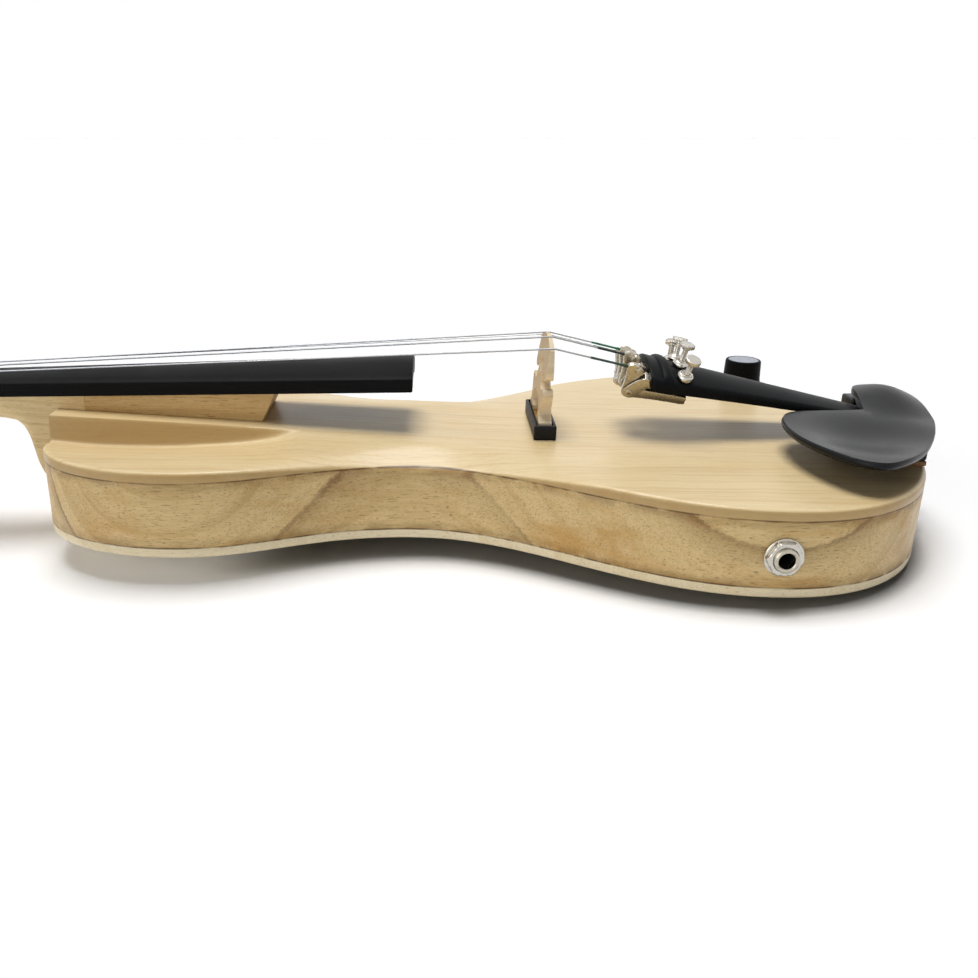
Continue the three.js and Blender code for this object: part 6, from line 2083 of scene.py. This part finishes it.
@dataclass
class Studio:
    """Camera, pale floor, soft lamps and white surroundings.

    yaw turns the camera towards the tail, pitch looks down and roll is how far the instrument leans. foot is
    the floor's point under the clamp. Each lamp has a name, a strength, the direction that the light comes
    from and the angle that it fills, which softens its shadows.
    """

    eye: Point = (-47.7, -422.9, 162.2)
    yaw: float = 3.38
    pitch: float = 20.45
    roll: float = 1.81
    lens: float = 35.04
    foot: Point = (166.0, 0.0, -2.3)
    sky: float = 0.09
    lamps: tuple[tuple[str, float, Point, float], ...] = (("overhead_lamp", 2.5, (-0.08, 0.18, 1.0), 34.0),
        ("front_lamp", 0.72, (-0.9, -0.8, 0.3), 50.0))

    def directions(self) -> tuple[Vector, Vector, Vector]:
        """The camera's right, up and forward directions."""
        yaw, pitch, roll = (radians(a) for a in (self.yaw, self.pitch, self.roll))
        ahead = Vector((sin(yaw) * cos(pitch), cos(yaw) * cos(pitch), -sin(pitch)))
        flat = Vector((cos(yaw), -sin(yaw), 0))
        high = flat.cross(ahead)
        right = cos(roll) * flat + sin(roll) * high
        return right, right.cross(ahead), ahead

    def camera(self) -> None:
        """Sets the camera."""
        right, up, ahead = self.directions()
        made = bpy.data.objects.new("photo_camera", bpy.data.cameras.new("photo_camera"))
        bpy.context.scene.collection.objects.link(made)
        made.data.lens = self.lens
        made.data.sensor_width = 36.0
        made.data.clip_start = 0.01
        matrix = Matrix((right, up, -ahead)).transposed().to_4x4()
        matrix.translation = Vector(self.eye) * MM
        made.matrix_world = matrix
        bpy.context.scene.camera = made

    def floor(self) -> None:
        """Lays a pale floor, level with the camera, that keeps the shadow, with painted shadow added close
        under the instrument.
        """
        right, up, ahead = self.directions()
        pitch = radians(self.pitch)
        normal = (cos(pitch) * up - sin(pitch) * ahead).normalized()
        depth = normal.cross(right)
        middle = Vector(self.foot)
        reach = 40000.0
        form = Form([middle + reach * (a * right + b * depth) for a,
            b in ((-1, -1), (1, -1), (1, 1), (-1, 1))], [(0, 1, 2, 3)])
        piece = form.piece("studio_floor")
        tree = Tree("studio_floor_paper")
        grain = tree.noise((0.02, 0.02, 0.02), 3)
        colour = tree.blend(tree.span(grain, 0.3, 0.7), paint("f7f7f8"), paint("f9f9fa"))
        # Painted shadow: the floor darkens and loses its glow where the instrument crowds it, less under the
        # lifted neck end.
        nearby = tree.node("ShaderNodeAmbientOcclusion", {"Distance": 0.017}, samples=12).outputs["AO"]
        lifted = tree.span(tree.axes(tree.place())[0], -175, -75, 0.2, 1)
        shade = tree.times(tree.less(1.0, nearby), lifted)
        colour = tree.tint(colour, tree.span(shade, 0.18, 0.5, 0, 0.66), "26241f")
        paper = tree.node("ShaderNodeBsdfDiffuse", {"Color": colour})
        shown = tree.times(self.seen(tree, 0.14, 0.0), tree.span(shade, 0.5, 0.1))
        glow = tree.node("ShaderNodeEmission", {"Color": (1, 1, 1, 1), "Strength": shown})
        both = tree.node("ShaderNodeAddShader", {0: paper.outputs[0], 1: glow.outputs[0]})
        tree.node("ShaderNodeOutputMaterial", {"Surface": both.outputs[0]})
        piece.data.materials.append(tree.material)

    @staticmethod
    def seen(tree: Tree, shown: float, lighting: float) -> Socket:
        """Strength for rays that see the surroundings, and for rays that light the object.

        Args:
            tree: The tree that the nodes go into.
            shown: Strength for camera, glossy and transmission rays.
            lighting: Strength for all others.

        Returns:
            The strength as a socket.
        """
        path = tree.node("ShaderNodeLightPath").outputs
        look = tree.math("MAXIMUM", path["Is Camera Ray"], tree.math("MAXIMUM", path["Is Glossy Ray"],
            path["Is Transmission Ray"]))
        return tree.plus(tree.times(look, shown - lighting), lighting)

    def surroundings(self) -> None:
        """White surroundings that light the object softly."""
        world = bpy.data.worlds.new("studio_white")
        world.use_nodes = True
        bpy.context.scene.world = world
        tree = Tree.__new__(Tree)
        tree.nodes, tree.links = world.node_tree.nodes, world.node_tree.links
        tree.nodes.clear()
        strength = self.seen(tree, 1.0, self.sky)
        back = tree.node("ShaderNodeBackground", {"Color": (1, 1, 1, 1), "Strength": strength})
        tree.node("ShaderNodeOutputWorld", {"Surface": back.outputs[0]})

    def lighting(self) -> None:
        """Adds the broad lamp above and the weak one in front."""
        for name, strength, source, angle in self.lamps:
            light = bpy.data.lights.new(name, "SUN")
            light.energy = strength
            light.angle = radians(angle)
            made = bpy.data.objects.new(name, light)
            bpy.context.scene.collection.objects.link(made)
            made.rotation_euler = Vector(source).to_track_quat("Z", "Y").to_euler()

    def build(self) -> None:
        """Sets floor, lamps and surroundings."""
        self.floor()
        self.surroundings()
        self.lighting()
        log.info("studio ready")


def main() -> None:
    """Builds the violin piece by piece, with its camera and studio."""
    logging.basicConfig(level=logging.INFO, format="%(name)s: %(message)s")
    bpy.context.scene.view_settings.view_transform = "Standard"
    studio = Studio()
    studio.camera()
    plan = BodyPlan()
    Body(plan).build()
    board = Board()
    board.build(plan)
    head = Head(board)
    Neck(head).build()
    pegs = Pegs(head)
    pegs.build()
    bridge = Bridge()
    bridge.build()
    tailpiece = Tailpiece()
    tailpiece.build()
    for spec in STRINGS:
        FineTuner(tailpiece).build(spec)
    Strings(pegs, board, bridge, tailpiece).build()
    Controls(plan).build()
    Chinrest().build()
    studio.build()


if __name__ == "__main__":
    main()
